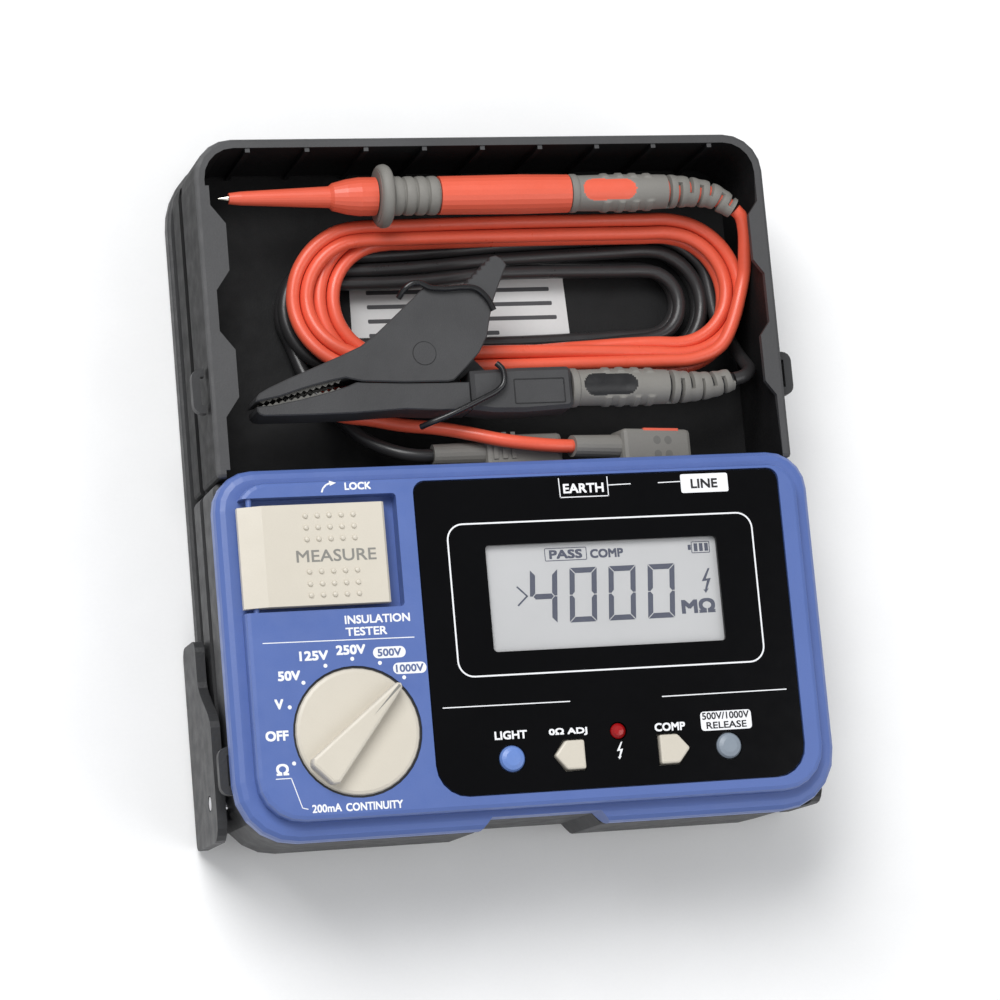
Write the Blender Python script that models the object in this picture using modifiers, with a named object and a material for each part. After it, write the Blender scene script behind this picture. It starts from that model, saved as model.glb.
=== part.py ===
"""Hand-held insulation tester in its storage case, lying face up.

The instrument (blue front) and a lead tray form one base. A hard cover is folded behind
the base, carried by two side arms whose pins run in grooves along the base. Both test
leads lie in the tray: a red probe on top, a black crocodile clip below it.

+X is to the right of the display, +Y towards the tray, +Z out of the front face. The
origin is on the cover's back, in the middle of the whole outline.
"""

import math

import bmesh
import bpy
from mathutils import Matrix, Vector

MM = 0.001
GAP = 0.3 * MM  # clearance between pieces that touch

# Levels above the cover's back
COVER_RIM = 5.0 * MM
PEDESTAL_BACK = 5.5 * MM
BASE_BACK = 10.5 * MM
TRAY_FLOOR = 15.0 * MM
CASE_SPLIT = 38.0 * MM
TRAY_RIM = 42.0 * MM
FLANGE_TOP = 46.0 * MM
PANEL_TOP = 50.0 * MM
FACE_TOP = 50.3 * MM

# Outlines seen from the front
CASE_HALF = 75.5 * MM
FLANGE_HALF = 77.3 * MM
FACE_HALF = 72.5 * MM
BASE_BOTTOM = -92.0 * MM
SEAM = -1.5 * MM
TRAY_TOP = 85.0 * MM
COVER_BOTTOM = -85.0 * MM
COVER_TOP = 91.8 * MM
WALL = 2.4 * MM

# Front controls
KNOB = Vector((-47.0 * MM, -66.35 * MM, 0))
KNOB_RADIUS = 15.5 * MM
KEY_LEFT, KEY_RIGHT = -72.6 * MM, -36.2 * MM
KEY_LOW, KEY_HIGH = -35.1 * MM, -10.2 * MM
KEY_AXIS = (-69.5 * MM, 49.0 * MM)
PANEL = (-28.0 * MM, 67.3 * MM, -83.6 * MM, -5.5 * MM)
WINDOW = (-11.0 * MM, 49.5 * MM, -48.7 * MM, -22.1 * MM)
BUTTON_ROW = -75.2 * MM
ROUND_BUTTONS = {"light_button": -8.8 * MM, "release_button": 47.5 * MM}
ARROW_BUTTONS = {"zero_adjust_button": 6.3 * MM, "comparator_button": 32.6 * MM}
LED = Vector((19.0 * MM, -69.9 * MM, 0))

# Cover linkage
GROOVE_Z = 21.5 * MM
GROOVE_WIDTH = 4.2 * MM
GROOVE_DEPTH = 1.4 * MM
GROOVE_TOP = 78.0 * MM
ARM_PIN_Y = -79.0 * MM
COVER_PIN = (-44.0 * MM, 2.6 * MM)
ARM_INSIDE, ARM_OUTSIDE = 76.6 * MM, 79.0 * MM

# Case screws, batteries and terminals
SCREWS = [(x * MM, y * MM) for x, y in ((-62, -83), (62, -83), (-28, -11), (62, -10))]
CELL_RADIUS, CELL_LENGTH, CELL_PITCH = 7.1 * MM, 50.0 * MM, 15.0 * MM
TERMINALS = {"earth": 10.0 * MM, "line": 44.5 * MM}
TERMINAL_Z = 30.0 * MM

# Test leads
CORD_RADIUS = 1.75 * MM
PROBE_AXIS = (70.8 * MM, 37.2 * MM)
CLIP_Z = 37.5 * MM
CLIP_PIVOT = Vector((-20.3 * MM, 28.5 * MM, 0))

COLOURS = {
    "blue_plastic": ((0.095, 0.165, 0.45), 0.45, 0.0),
    "black_plastic": ((0.035, 0.035, 0.037), 0.6, 0.0),
    "gloss_black": ((0.004, 0.004, 0.005), 0.12, 0.0),
    "ivory_plastic": ((0.72, 0.68, 0.58), 0.5, 0.0),
    "blue_button": ((0.13, 0.24, 0.68), 0.4, 0.0),
    "grey_button": ((0.24, 0.28, 0.34), 0.4, 0.0),
    "red_lens": ((0.5, 0.01, 0.02), 0.15, 0.0),
    "display_grey": ((0.5, 0.5, 0.5), 0.3, 0.0),
    "clear": ((0.6, 0.62, 0.62), 0.05, 0.0),
    "board_green": ((0.02, 0.12, 0.05), 0.5, 0.0),
    "steel": ((0.55, 0.56, 0.58), 0.3, 1.0),
    "brass": ((0.7, 0.5, 0.2), 0.3, 1.0),
    "ferrite": ((0.08, 0.07, 0.06), 0.6, 0.0),
    "cell_jacket": ((0.03, 0.03, 0.035), 0.35, 0.0),
    "probe_red": ((0.75, 0.09, 0.045), 0.4, 0.0),
    "grey_rubber": ((0.24, 0.235, 0.225), 0.6, 0.0),
    "black_rubber": ((0.02, 0.02, 0.021), 0.5, 0.0),
}

# Swap the axes so that an outline drawn as (u, v) is extruded along another direction
AXES = {
    "Z": Matrix.Identity(4),
    "X": Matrix(((0, 0, 1, 0), (1, 0, 0, 0), (0, 1, 0, 0), (0, 0, 0, 1))),
    "Y": Matrix(((0, 1, 0, 0), (0, 0, 1, 0), (1, 0, 0, 0), (0, 0, 0, 1))),
}


def clear_scene():
    for old in list(bpy.data.objects):
        bpy.data.objects.remove(old, do_unlink=True)


def make_collection(name):
    made = bpy.data.collections.new(name)
    bpy.context.scene.collection.children.link(made)
    return made


clear_scene()
PARTS = make_collection("insulation_tester")
CUTTERS = make_collection("cutters")
CUTTERS.hide_render = True


def material(name):
    found = bpy.data.materials.get(name)
    if found:
        return found
    colour, roughness, metallic = COLOURS[name]
    made = bpy.data.materials.new(name)
    made.use_nodes = True
    shader = made.node_tree.nodes["Principled BSDF"]
    shader.inputs["Base Color"].default_value = (*colour, 1)
    shader.inputs["Roughness"].default_value = roughness
    shader.inputs["Metallic"].default_value = metallic
    made.diffuse_color = (*colour, 1)
    return made


def new_object(name, data, look):
    """A part when it has a look, otherwise a cutter."""
    made = bpy.data.objects.new(name, data)
    (PARTS if look else CUTTERS).objects.link(made)
    if look:
        data.materials.append(material(look))
    else:
        made.hide_render = True
        made.display_type = "WIRE"
    return made


def object_from_bmesh(name, work, look, matrix=None):
    mesh = bpy.data.meshes.new(name)
    work.transform(matrix or Matrix.Identity(4))
    bmesh.ops.recalc_face_normals(work, faces=work.faces)
    if work.calc_volume(signed=True) < 0:
        bmesh.ops.reverse_faces(work, faces=work.faces)
    work.to_mesh(mesh)
    work.free()
    made = new_object(name, mesh, look)
    mesh.shade_smooth()
    mesh.set_sharp_from_angle(angle=math.radians(35))
    return made


def mesh_of_curve(name, curve, look, matrix):
    """The curve's solid as a mesh with welded caps."""
    guide = bpy.data.objects.new(name + "_guide", curve)
    bpy.context.scene.collection.objects.link(guide)
    graph = bpy.context.evaluated_depsgraph_get()
    mesh = bpy.data.meshes.new_from_object(guide.evaluated_get(graph))
    bpy.data.objects.remove(guide, do_unlink=True)
    work = bmesh.new()
    work.from_mesh(mesh)
    bpy.data.meshes.remove(mesh)
    bmesh.ops.remove_doubles(work, verts=work.verts, dist=1e-6)
    bmesh.ops.dissolve_limit(
        work, angle_limit=math.radians(0.5), verts=work.verts, edges=work.edges
    )
    return object_from_bmesh(name, work, look, matrix)


def extruded(name, outlines, low, high, look=None, axis="Z"):
    """A flat outline, with any holes after it, extruded from low to high along an axis."""
    if not isinstance(outlines[0][0], (tuple, list)):
        outlines = [outlines]
    curve = bpy.data.curves.new(name, "CURVE")
    curve.dimensions = "2D"
    curve.fill_mode = "BOTH"
    curve.extrude = (high - low) / 2
    for outline in outlines:
        spline = curve.splines.new("POLY")
        spline.points.add(len(outline) - 1)
        for point, (u, v) in zip(spline.points, outline):
            point.co = (u, v, 0, 1)
        spline.use_cyclic_u = True
    place = AXES[axis] @ Matrix.Translation((0, 0, (low + high) / 2))
    return mesh_of_curve(name, curve, look, place)


def arc(centre, radius, start, end, steps):
    """Points along an arc, angles in degrees."""
    angles = [math.radians(start + (end - start) * i / steps) for i in range(steps + 1)]
    return [(centre[0] + radius * math.cos(a), centre[1] + radius * math.sin(a)) for a in angles]


def circle(centre, radius, steps=24):
    return arc(centre, radius, 0, 360, steps)[:-1]


def rounded(left, right, low, high, radius_low, radius_high=None, steps=5):
    """A rectangle with its corners rounded, low corners first."""
    top = radius_low if radius_high is None else radius_high
    points = []
    for x, y, radius, start in (
        (right, low, radius_low, 270),
        (right, high, top, 0),
        (left, high, top, 90),
        (left, low, radius_low, 180),
    ):
        if radius == 0:
            points.append((x, y))
            continue
        centre = (
            x - radius if x == right else x + radius,
            y + radius if y == low else y - radius,
        )
        points += arc(centre, radius, start, start + 90, steps)
    return points


def rod(name, start, end, radius, look=None, sides=24, end_radius=None):
    start, end = Vector(start), Vector(end)
    work = bmesh.new()
    bmesh.ops.create_cone(
        work,
        cap_ends=True,
        segments=sides,
        radius1=radius,
        radius2=radius if end_radius is None else end_radius,
        depth=(end - start).length,
    )
    turn = (end - start).to_track_quat("Z", "Y").to_matrix().to_4x4()
    return object_from_bmesh(name, work, look, Matrix.Translation((start + end) / 2) @ turn)


def box(name, low, high, look=None):
    low, high = Vector(low), Vector(high)
    work = bmesh.new()
    bmesh.ops.create_cube(work, size=1)
    place = Matrix.Translation((low + high) / 2) @ Matrix.Diagonal((*(high - low), 1))
    return object_from_bmesh(name, work, look, place)


def turned(name, profile, origin, look=None, along="Z", steps=24):
    """A turned solid. The profile lists (radius, height) from the top down."""
    mesh = bpy.data.meshes.new(name)
    points = [(radius, 0, height) for radius, height in profile]
    edges = [(i, i + 1) for i in range(len(points) - 1)]
    mesh.from_pydata(points, edges, [])
    made = new_object(name, mesh, look)
    made.matrix_world = Matrix.Translation(origin) @ AXES[along]
    screw = made.modifiers.new("turn", "SCREW")
    screw.steps = screw.render_steps = steps
    screw.use_merge_vertices = True
    screw.merge_threshold = 1e-6
    screw.use_smooth_shade = True
    return made


def smooth_route(points, spacing):
    """Points at an even spacing on a smooth curve through the route's own points."""
    route = [Vector(p) for p in points]
    ends = [2 * route[0] - route[1], *route, 2 * route[-1] - route[-2]]
    fine = []
    for i in range(1, len(ends) - 2):
        before, here, there, after = ends[i - 1 : i + 3]
        for step in range(12):
            t = step / 12
            fine.append(
                0.5
                * (
                    2 * here
                    + (there - before) * t
                    + (2 * before - 5 * here + 4 * there - after) * t**2
                    + (3 * here - before - 3 * there + after) * t**3
                )
            )
    fine.append(route[-1])
    total = sum((b - a).length for a, b in zip(fine, fine[1:]))
    count = max(2, round(total / spacing))
    even, walked, target = [fine[0]], 0.0, 1
    for a, b in zip(fine, fine[1:]):
        length = (b - a).length
        while target < count and walked + length >= total * target / count:
            even.append(a.lerp(b, (total * target / count - walked) / length))
            target += 1
        walked += length
    return [*even, fine[-1]]


def tube(name, points, radius, look, spacing=None):
    """A round tube along a smooth curve through the points."""
    curve = bpy.data.curves.new(name, "CURVE")
    curve.dimensions = "3D"
    curve.bevel_depth = radius
    curve.bevel_resolution = 2
    curve.use_fill_caps = True
    route = smooth_route(points, spacing or 4 * radius)
    spline = curve.splines.new("POLY")
    spline.points.add(len(route) - 1)
    for point, place in zip(spline.points, route):
        point.co = (*place, 1)
    return new_object(name, curve, look)


def boolean(target, other, operation):
    change = target.modifiers.new(operation.lower(), "BOOLEAN")
    change.operation = operation
    change.object = other
    change.solver = "EXACT"
    if other.name not in CUTTERS.objects:
        PARTS.objects.unlink(other)
        CUTTERS.objects.link(other)
        other.hide_render = True
        other.display_type = "WIRE"
    return target


def cut(target, *others):
    for other in others:
        boolean(target, other, "DIFFERENCE")
    return target


def join(target, *others):
    for other in others:
        boolean(target, other, "UNION")
    return target


def bevel(target, width, segments=2, angle=30):
    change = target.modifiers.new("rounded_edges", "BEVEL")
    change.width = width
    change.segments = segments
    change.limit_method = "ANGLE"
    change.angle_limit = math.radians(angle)
    change.use_clamp_overlap = True
    return target


def on_joint(name, location, *members):
    """Parents moving pieces to an empty on their joint's axis, leaving them in place."""
    pivot = bpy.data.objects.new(name, None)
    pivot.empty_display_size = 10 * MM
    PARTS.objects.link(pivot)
    pivot.location = location
    for member in members:
        member.parent = pivot
        member.matrix_parent_inverse = Matrix.Translation(-Vector(location))
    return pivot


def thumb_notch(name, low, high):
    """Slanted notch in the middle of the lower edge, for a thumb to lift the closed cover."""
    half, slope, depth = 14 * MM, 3.5 * MM, 3.2 * MM
    outline = [
        (-half - slope, BASE_BOTTOM - 1 * MM),
        (half + slope, BASE_BOTTOM - 1 * MM),
        (half, BASE_BOTTOM + depth),
        (-half, BASE_BOTTOM + depth),
    ]
    return extruded(name, outline, low, high)


def side_groove(name, side, low, high):
    """Round-ended groove along one side wall."""
    radius = GROOVE_WIDTH / 2
    outline = [(low, GROOVE_Z - radius), *arc((high - radius, GROOVE_Z), radius, -90, 90, 8)]
    outline.append((low, GROOVE_Z + radius))
    inner, outer = CASE_HALF - GROOVE_DEPTH, CASE_HALF + 1 * MM
    if side < 0:
        inner, outer = -outer, -inner
    return extruded(name, outline, inner, outer, axis="X")


def make_lower_case():
    case = extruded(
        "lower_case",
        rounded(-CASE_HALF, CASE_HALF, BASE_BOTTOM + 0.4 * MM, SEAM, 14 * MM, 2 * MM),
        BASE_BACK,
        CASE_SPLIT - GAP,
        "black_plastic",
    )
    bevel(case, 1.2 * MM, 2, 60)
    pedestal = extruded(
        "case_pedestal",
        rounded(-70 * MM, 70 * MM, -88 * MM, SEAM - 1.5 * MM, 12 * MM, 4 * MM),
        PEDESTAL_BACK,
        BASE_BACK + 1 * MM,
    )
    join(case, pedestal)
    cut(
        case,
        extruded(
            "case_cavity",
            rounded(
                -CASE_HALF + WALL,
                CASE_HALF - WALL,
                BASE_BOTTOM + 4.6 * MM,
                SEAM - WALL,
                11 * MM,
                2 * MM,
            ),
            BASE_BACK + WALL,
            CASE_SPLIT + 1 * MM,
        ),
        extruded(
            "pedestal_cavity",
            rounded(-67.5 * MM, 67.5 * MM, -85.5 * MM, SEAM - 4 * MM, 9 * MM, 2 * MM),
            PEDESTAL_BACK + 2.2 * MM,
            CASE_SPLIT,
        ),
        thumb_notch("lower_notch", BASE_BACK - 1 * MM, CASE_SPLIT + 1 * MM),
        box(
            "battery_opening",
            (1.7 * MM, -78.3 * MM, PEDESTAL_BACK - 1 * MM),
            (66.3 * MM, -19.7 * MM, PEDESTAL_BACK + 4 * MM),
        ),
        side_groove("case_groove_left", -1, BASE_BOTTOM + 6 * MM, SEAM + 3 * MM),
        side_groove("case_groove_right", 1, BASE_BOTTOM + 6 * MM, SEAM + 3 * MM),
    )
    for i, (x, y) in enumerate(SCREWS):
        join(
            case,
            rod(
                f"case_boss_{i}",
                (x, y, PEDESTAL_BACK + 0.5 * MM),
                (x, y, CASE_SPLIT - GAP),
                3.6 * MM,
                sides=16,
            ),
        )
    for i, (x, y) in enumerate(SCREWS):
        cut(
            case,
            rod(f"screw_way_{i}", (x, y, 0), (x, y, CASE_SPLIT + 1 * MM), 1.8 * MM, sides=12),
            rod(f"head_well_{i}", (x, y, 0), (x, y, PEDESTAL_BACK + 2.8 * MM), 3.1 * MM, sides=16),
        )
    for label, x in TERMINALS.items():
        cut(
            case,
            rod(
                f"{label}_hole",
                (x, SEAM - 6 * MM, TERMINAL_Z),
                (x, SEAM + 2 * MM, TERMINAL_Z),
                4.8 * MM,
            ),
        )
    return case


def make_lead_tray():
    low = SEAM + GAP
    half = CASE_HALF - 0.3 * MM
    tray = extruded(
        "lead_tray",
        rounded(-half, half, low, TRAY_TOP, 0, 10 * MM),
        BASE_BACK,
        TRAY_RIM,
        "black_plastic",
    )
    bevel(tray, 1.0 * MM, 2, 60)
    inside = half - WALL
    cut(
        tray,
        extruded(
            "tray_inside",
            rounded(-inside, inside, low - 5 * MM, TRAY_TOP - WALL, 0, 8 * MM),
            TRAY_FLOOR,
            TRAY_RIM + 2 * MM,
        ),
        extruded(
            "tray_back_hollow",
            rounded(-inside, inside, low + 3 * MM, TRAY_TOP - 3 * MM, 2 * MM, 8 * MM),
            BASE_BACK - 1 * MM,
            BASE_BACK + 2.2 * MM,
        ),
        side_groove("tray_groove_left", -1, low - 3 * MM, GROOVE_TOP),
        side_groove("tray_groove_right", 1, low - 3 * MM, GROOVE_TOP),
    )
    tab = 3.6 * MM
    for side, rim in ((-1, inside - 1.0 * MM), (1, inside + 0.9 * MM)):
        edge = [(rim, low + 2 * MM)]
        for start in (14 * MM, 46.2 * MM):
            edge += [
                (rim, start),
                (rim - tab, start + 5 * MM),
                (rim - tab, start + 17 * MM),
                (rim, start + 21.8 * MM),
            ]
        edge.append((rim, TRAY_TOP - 12 * MM))
        edge += [(half - 1 * MM, TRAY_TOP - 12 * MM), (half - 1 * MM, low + 2 * MM)]
        outline = [(side * x, y) for x, y in edge]
        join(tray, extruded(f"rim_tabs_{side}", outline, TRAY_RIM - 1.6 * MM, TRAY_RIM))
    for i in range(9):
        x = (i - 4) * 15.3 * MM
        join(
            tray,
            box(
                f"tray_rib_{i}",
                (x - 0.6 * MM, TRAY_TOP - WALL - 1.1 * MM, TRAY_FLOOR - 1 * MM),
                (x + 0.6 * MM, TRAY_TOP - WALL + 1 * MM, TRAY_RIM - 0.4 * MM),
            ),
        )
    return tray


def make_strap_loop(name, side, low, high, outer):
    """A D-shaped loop for the neck strap, standing out of a side wall."""
    wall = CASE_HALF + GAP
    bar, level = 2.1 * MM, 37.0 * MM
    ring = [
        (wall, low),
        *arc((outer - 2.4 * MM, low + 2.4 * MM), 2.4 * MM, -90, 0, 4),
        *arc((outer - 2.4 * MM, high - 2.4 * MM), 2.4 * MM, 0, 90, 4),
        (wall, high),
        (wall, high - bar),
        (outer - bar, high - bar),
        (outer - bar, low + bar),
        (wall, low + bar),
    ]
    outline = [(side * x, y) for x, y in ring]
    return extruded(name, outline, level - 1.3 * MM, level + 1.3 * MM, "black_plastic")


def make_front_case():
    low, high = BASE_BOTTOM + 0.2 * MM, 0.0
    case = extruded(
        "front_case",
        rounded(-FLANGE_HALF, FLANGE_HALF, low, high, 15 * MM, 10 * MM),
        CASE_SPLIT,
        FLANGE_TOP,
        "blue_plastic",
    )
    bevel(case, 2.6 * MM, 3, 60)
    face = extruded(
        "raised_face",
        rounded(-FACE_HALF, FACE_HALF, low + 4.6 * MM, high - 4.2 * MM, 11 * MM, 7 * MM),
        FLANGE_TOP - 3 * MM,
        FACE_TOP,
    )
    bevel(face, 1.2 * MM, 2, 60)
    join(case, face)
    pocket = (-73.2 * MM, -31.2 * MM, -37.8 * MM, -6.4 * MM)
    cavity_low, cavity_high = low + 7 * MM, high - 6.6 * MM
    cut(
        case,
        extruded(
            "front_cavity",
            [
                (pocket[1], cavity_high),
                (pocket[1], pocket[2]),
                (-70 * MM, pocket[2]),
                (-70 * MM, cavity_low + 6 * MM),
                (-64 * MM, cavity_low),
                (64 * MM, cavity_low),
                (70 * MM, cavity_low + 6 * MM),
                (70 * MM, cavity_high),
            ],
            CASE_SPLIT - 1 * MM,
            FACE_TOP - 2.3 * MM,
        ),
        box(
            "key_underside",
            (-71 * MM, pocket[2] - 2 * MM, CASE_SPLIT - 1 * MM),
            (pocket[1] + 2 * MM, cavity_high, FLANGE_TOP - 1.8 * MM),
        ),
        extruded(
            "key_pocket",
            rounded(-74.0 * MM, -32.7 * MM, -36.2 * MM, -8.0 * MM, 1 * MM),
            FLANGE_TOP,
            FACE_TOP + 2 * MM,
        ),
        box(
            "switch_window",
            (-49 * MM, -27.5 * MM, FLANGE_TOP - 3 * MM),
            (-39 * MM, -17.5 * MM, FLANGE_TOP + 1 * MM),
        ),
        rod(
            "key_pin_hole",
            (KEY_AXIS[0], KEY_LOW - 2.2 * MM, KEY_AXIS[1]),
            (KEY_AXIS[0], KEY_HIGH + 3.3 * MM, KEY_AXIS[1]),
            1.0 * MM,
            sides=12,
        ),
        extruded(
            "panel_recess",
            rounded(
                PANEL[0] - GAP,
                PANEL[1] + GAP,
                PANEL[2] - GAP,
                PANEL[3] + GAP,
                8 * MM,
                3 * MM,
            ),
            PANEL_TOP - 1.3 * MM,
            FACE_TOP + 1 * MM,
        ),
        extruded(
            "panel_opening",
            rounded(
                PANEL[0] + 2 * MM,
                PANEL[1] - 2 * MM,
                PANEL[2] + 2 * MM,
                PANEL[3] - 2 * MM,
                6 * MM,
                2 * MM,
            ),
            CASE_SPLIT,
            FACE_TOP + 1 * MM,
        ),
        rod(
            "knob_recess",
            (KNOB.x, KNOB.y, PANEL_TOP - 0.9 * MM),
            (KNOB.x, KNOB.y, FACE_TOP + 1 * MM),
            KNOB_RADIUS + 0.6 * MM,
            sides=40,
        ),
        rod(
            "shaft_hole",
            (KNOB.x, KNOB.y, CASE_SPLIT),
            (KNOB.x, KNOB.y, FACE_TOP + 1 * MM),
            3.6 * MM,
        ),
        thumb_notch("front_notch", CASE_SPLIT - 1 * MM, FACE_TOP + 1 * MM),
    )
    for i, (x, y) in enumerate(SCREWS):
        join(
            case,
            rod(
                f"front_boss_{i}",
                (x, y, CASE_SPLIT),
                (x, y, PANEL_TOP - 1.4 * MM),
                3.4 * MM,
                sides=16,
            ),
        )
        cut(
            case,
            rod(
                f"front_screw_way_{i}",
                (x, y, CASE_SPLIT - 2 * MM),
                (x, y, PANEL_TOP - 3.5 * MM),
                1.8 * MM,
                sides=12,
            ),
        )
    return case


def arrow_outline(x, direction, grow=0.0):
    """Five-sided key cap that points left or right."""
    half, height, tip = 2.6 * MM + grow, 3.6 * MM + grow, 2.6 * MM
    points = [(-half, -height), (half - 0.4 * MM, -height), (half + tip, 0)]
    points += [(half - 0.4 * MM, height), (-half, height)]
    shift = 0.8 * MM
    return [(x + direction * (u - shift), BUTTON_ROW + v) for u, v in points][::direction]


def make_front_panel():
    holes = [rounded(*WINDOW, 1 * MM)]
    holes += [circle((x, BUTTON_ROW), 3.5 * MM, 20) for x in ROUND_BUTTONS.values()]
    holes.append(circle((LED.x, LED.y), 2.25 * MM, 16))
    for direction, x in zip((-1, 1), ARROW_BUTTONS.values()):
        holes.append(arrow_outline(x, direction, GAP))
    panel = extruded(
        "front_panel",
        [rounded(*PANEL, 8 * MM, 3 * MM), *holes],
        PANEL_TOP - 1.0 * MM,
        PANEL_TOP,
        "gloss_black",
    )
    inset = GAP
    glass = extruded(
        "display_window",
        rounded(
            WINDOW[0] + inset,
            WINDOW[1] - inset,
            WINDOW[2] + inset,
            WINDOW[3] - inset,
            0.8 * MM,
        ),
        PANEL_TOP - 0.9 * MM,
        PANEL_TOP - 0.2 * MM,
        "clear",
    )
    return panel, glass


def make_buttons():
    flange = 1.1 * MM
    cap_top, cap_base = PANEL_TOP + 1.2 * MM, PANEL_TOP - 1.5 * MM
    made = []
    for name, x in ROUND_BUTTONS.items():
        look = "blue_button" if name == "light_button" else "grey_button"
        profile = [
            (0, cap_top),
            (1.8 * MM, cap_top - 0.1 * MM),
            (2.8 * MM, cap_top - 0.5 * MM),
            (3.2 * MM, cap_top - 1.1 * MM),
            (3.2 * MM, cap_base),
            (3.2 * MM + flange, cap_base),
            (3.2 * MM + flange, cap_base - 1 * MM),
            (0, cap_base - 1 * MM),
        ]
        button = turned(name, profile, (x, BUTTON_ROW, 0), look)
        made.append((button, (x, BUTTON_ROW, cap_base)))
    for direction, (name, x) in zip((-1, 1), ARROW_BUTTONS.items()):
        outline = arrow_outline(x, direction)
        button = extruded(name, outline, cap_base - 0.5 * MM, cap_top, "ivory_plastic")
        bevel(button, 0.5 * MM, 2, 50)
        base = extruded(
            name + "_flange",
            arrow_outline(x, direction, 0.9 * MM),
            cap_base - 1 * MM,
            cap_base,
        )
        join(button, base)
        made.append((button, (x, BUTTON_ROW, cap_base)))
    for button, place in made:
        on_joint(button.name + "_travel", place, button)


def make_knob():
    disc_top, bar_top = 50.7 * MM, 54.6 * MM
    knob = turned(
        "selector_knob",
        [
            (0, disc_top),
            (KNOB_RADIUS - 1.0 * MM, disc_top),
            (KNOB_RADIUS - 0.3 * MM, disc_top - 0.3 * MM),
            (KNOB_RADIUS, disc_top - 0.8 * MM),
            (KNOB_RADIUS, 49.5 * MM),
            (0, 49.5 * MM),
        ],
        KNOB,
        "ivory_plastic",
        steps=40,
    )
    turn = math.radians(45)
    outline = [
        (-KNOB_RADIUS + 0.9 * MM, -3.4 * MM),
        (-KNOB_RADIUS + 2.2 * MM, -4.4 * MM),
        (KNOB_RADIUS - 0.6 * MM, -1.0 * MM),
        (KNOB_RADIUS - 0.2 * MM, 0),
        (KNOB_RADIUS - 0.6 * MM, 1.0 * MM),
        (-KNOB_RADIUS + 2.2 * MM, 4.4 * MM),
        (-KNOB_RADIUS + 0.9 * MM, 3.4 * MM),
    ]
    outline = [
        (
            KNOB.x + u * math.cos(turn) - v * math.sin(turn),
            KNOB.y + u * math.sin(turn) + v * math.cos(turn),
        )
        for u, v in outline
    ]
    bar = extruded("pointer_bar", outline, disc_top - 1 * MM, bar_top)
    bevel(bar, 0.8 * MM, 2, 50)
    join(knob, bar)
    shaft_top = 49.9 * MM
    bore_top = (KNOB.x, KNOB.y, shaft_top + GAP)
    cut(knob, rod("knob_bore", (KNOB.x, KNOB.y, 48 * MM), bore_top, 3.3 * MM))
    shaft = rod(
        "selector_shaft",
        (KNOB.x, KNOB.y, 43 * MM),
        (KNOB.x, KNOB.y, shaft_top),
        3.0 * MM,
        "steel",
    )
    on_joint("selector_axis", (KNOB.x, KNOB.y, PANEL_TOP), knob, shaft)


def make_measure_key():
    """Long key hinged at its left end: pressed to measure, or lifted to lock."""
    top, under = 51.5 * MM, 48.4 * MM
    profile = [
        (KEY_LEFT, 47.8 * MM),
        (KEY_RIGHT, under),
        (KEY_RIGHT, top - 0.6 * MM),
        (KEY_RIGHT - 0.6 * MM, top),
        (KEY_LEFT + 5.7 * MM, top),
        (KEY_LEFT, 49.6 * MM),
    ]
    key = extruded(
        "measure_key",
        [[(z, x) for x, z in profile], circle((KEY_AXIS[1], KEY_AXIS[0]), 0.95 * MM, 12)],
        KEY_LOW,
        KEY_HIGH,
        "ivory_plastic",
        axis="Y",
    )
    bumps = [
        (x, y)
        for x in (-56.2, -53.2, -50.2, -47.2, -44.2)
        for y in (-13.1, -16.0, -18.9, -26.9, -29.9, -32.7)
    ]
    sunk = top - 0.2 * MM
    dome = [(0, top + 0.6 * MM), (0.5 * MM, top + 0.45 * MM), (0.85 * MM, sunk), (0, sunk)]
    for i, (x, y) in enumerate(bumps):
        bump = turned(
            f"key_bump_{i}",
            dome,
            (x * MM, y * MM, 0),
            steps=8,
        )
        join(key, bump)
    rod(
        "measure_key_pin",
        (KEY_AXIS[0], KEY_LOW - 1.9 * MM, KEY_AXIS[1]),
        (KEY_AXIS[0], KEY_HIGH + 3.0 * MM, KEY_AXIS[1]),
        0.7 * MM,
        "blue_plastic",
        sides=12,
    )
    on_joint("measure_key_axis", (KEY_AXIS[0], 0, KEY_AXIS[1]), key)


def make_electronics():
    board_low, board_top = 39.4 * MM, 41.0 * MM
    board = extruded(
        "main_board",
        [rounded(-69 * MM, 69 * MM, -84 * MM, -7.5 * MM, 7 * MM, 2 * MM)],
        board_low,
        board_top,
        "board_green",
    )
    for i, (x, y) in enumerate(SCREWS):
        below, above = (x, y, board_low - MM), (x, y, board_top + MM)
        cut(board, rod(f"board_notch_{i}", below, above, 4.2 * MM, sides=16))
    over = board_top + GAP
    box(
        "display_module",
        (-14 * MM, -52 * MM, over),
        (52.5 * MM, -19 * MM, 48.4 * MM),
        "display_grey",
    )
    inner, outer, switch_top = 3.4 * MM, 12.0 * MM, 47.4 * MM
    turned(
        "rotary_switch",
        [(inner, switch_top), (outer, switch_top), (outer, over), (inner, over), (inner, switch_top)],
        KNOB,
        "black_plastic",
    )
    box(
        "measure_switch",
        (-48 * MM, -26.5 * MM, over),
        (-40 * MM, -18.5 * MM, 46.6 * MM),
        "ivory_plastic",
    )
    box(
        "step_up_transformer",
        (-60 * MM, -58 * MM, 24 * MM),
        (-40 * MM, -40 * MM, board_low - GAP),
        "ferrite",
    )
    turned(
        "warning_led",
        [
            (0, PANEL_TOP + 0.7 * MM),
            (1.2 * MM, PANEL_TOP + 0.5 * MM),
            (1.95 * MM, PANEL_TOP - 0.3 * MM),
            (1.95 * MM, over),
            (0, over),
        ],
        LED,
        "red_lens",
        steps=16,
    )


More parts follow.
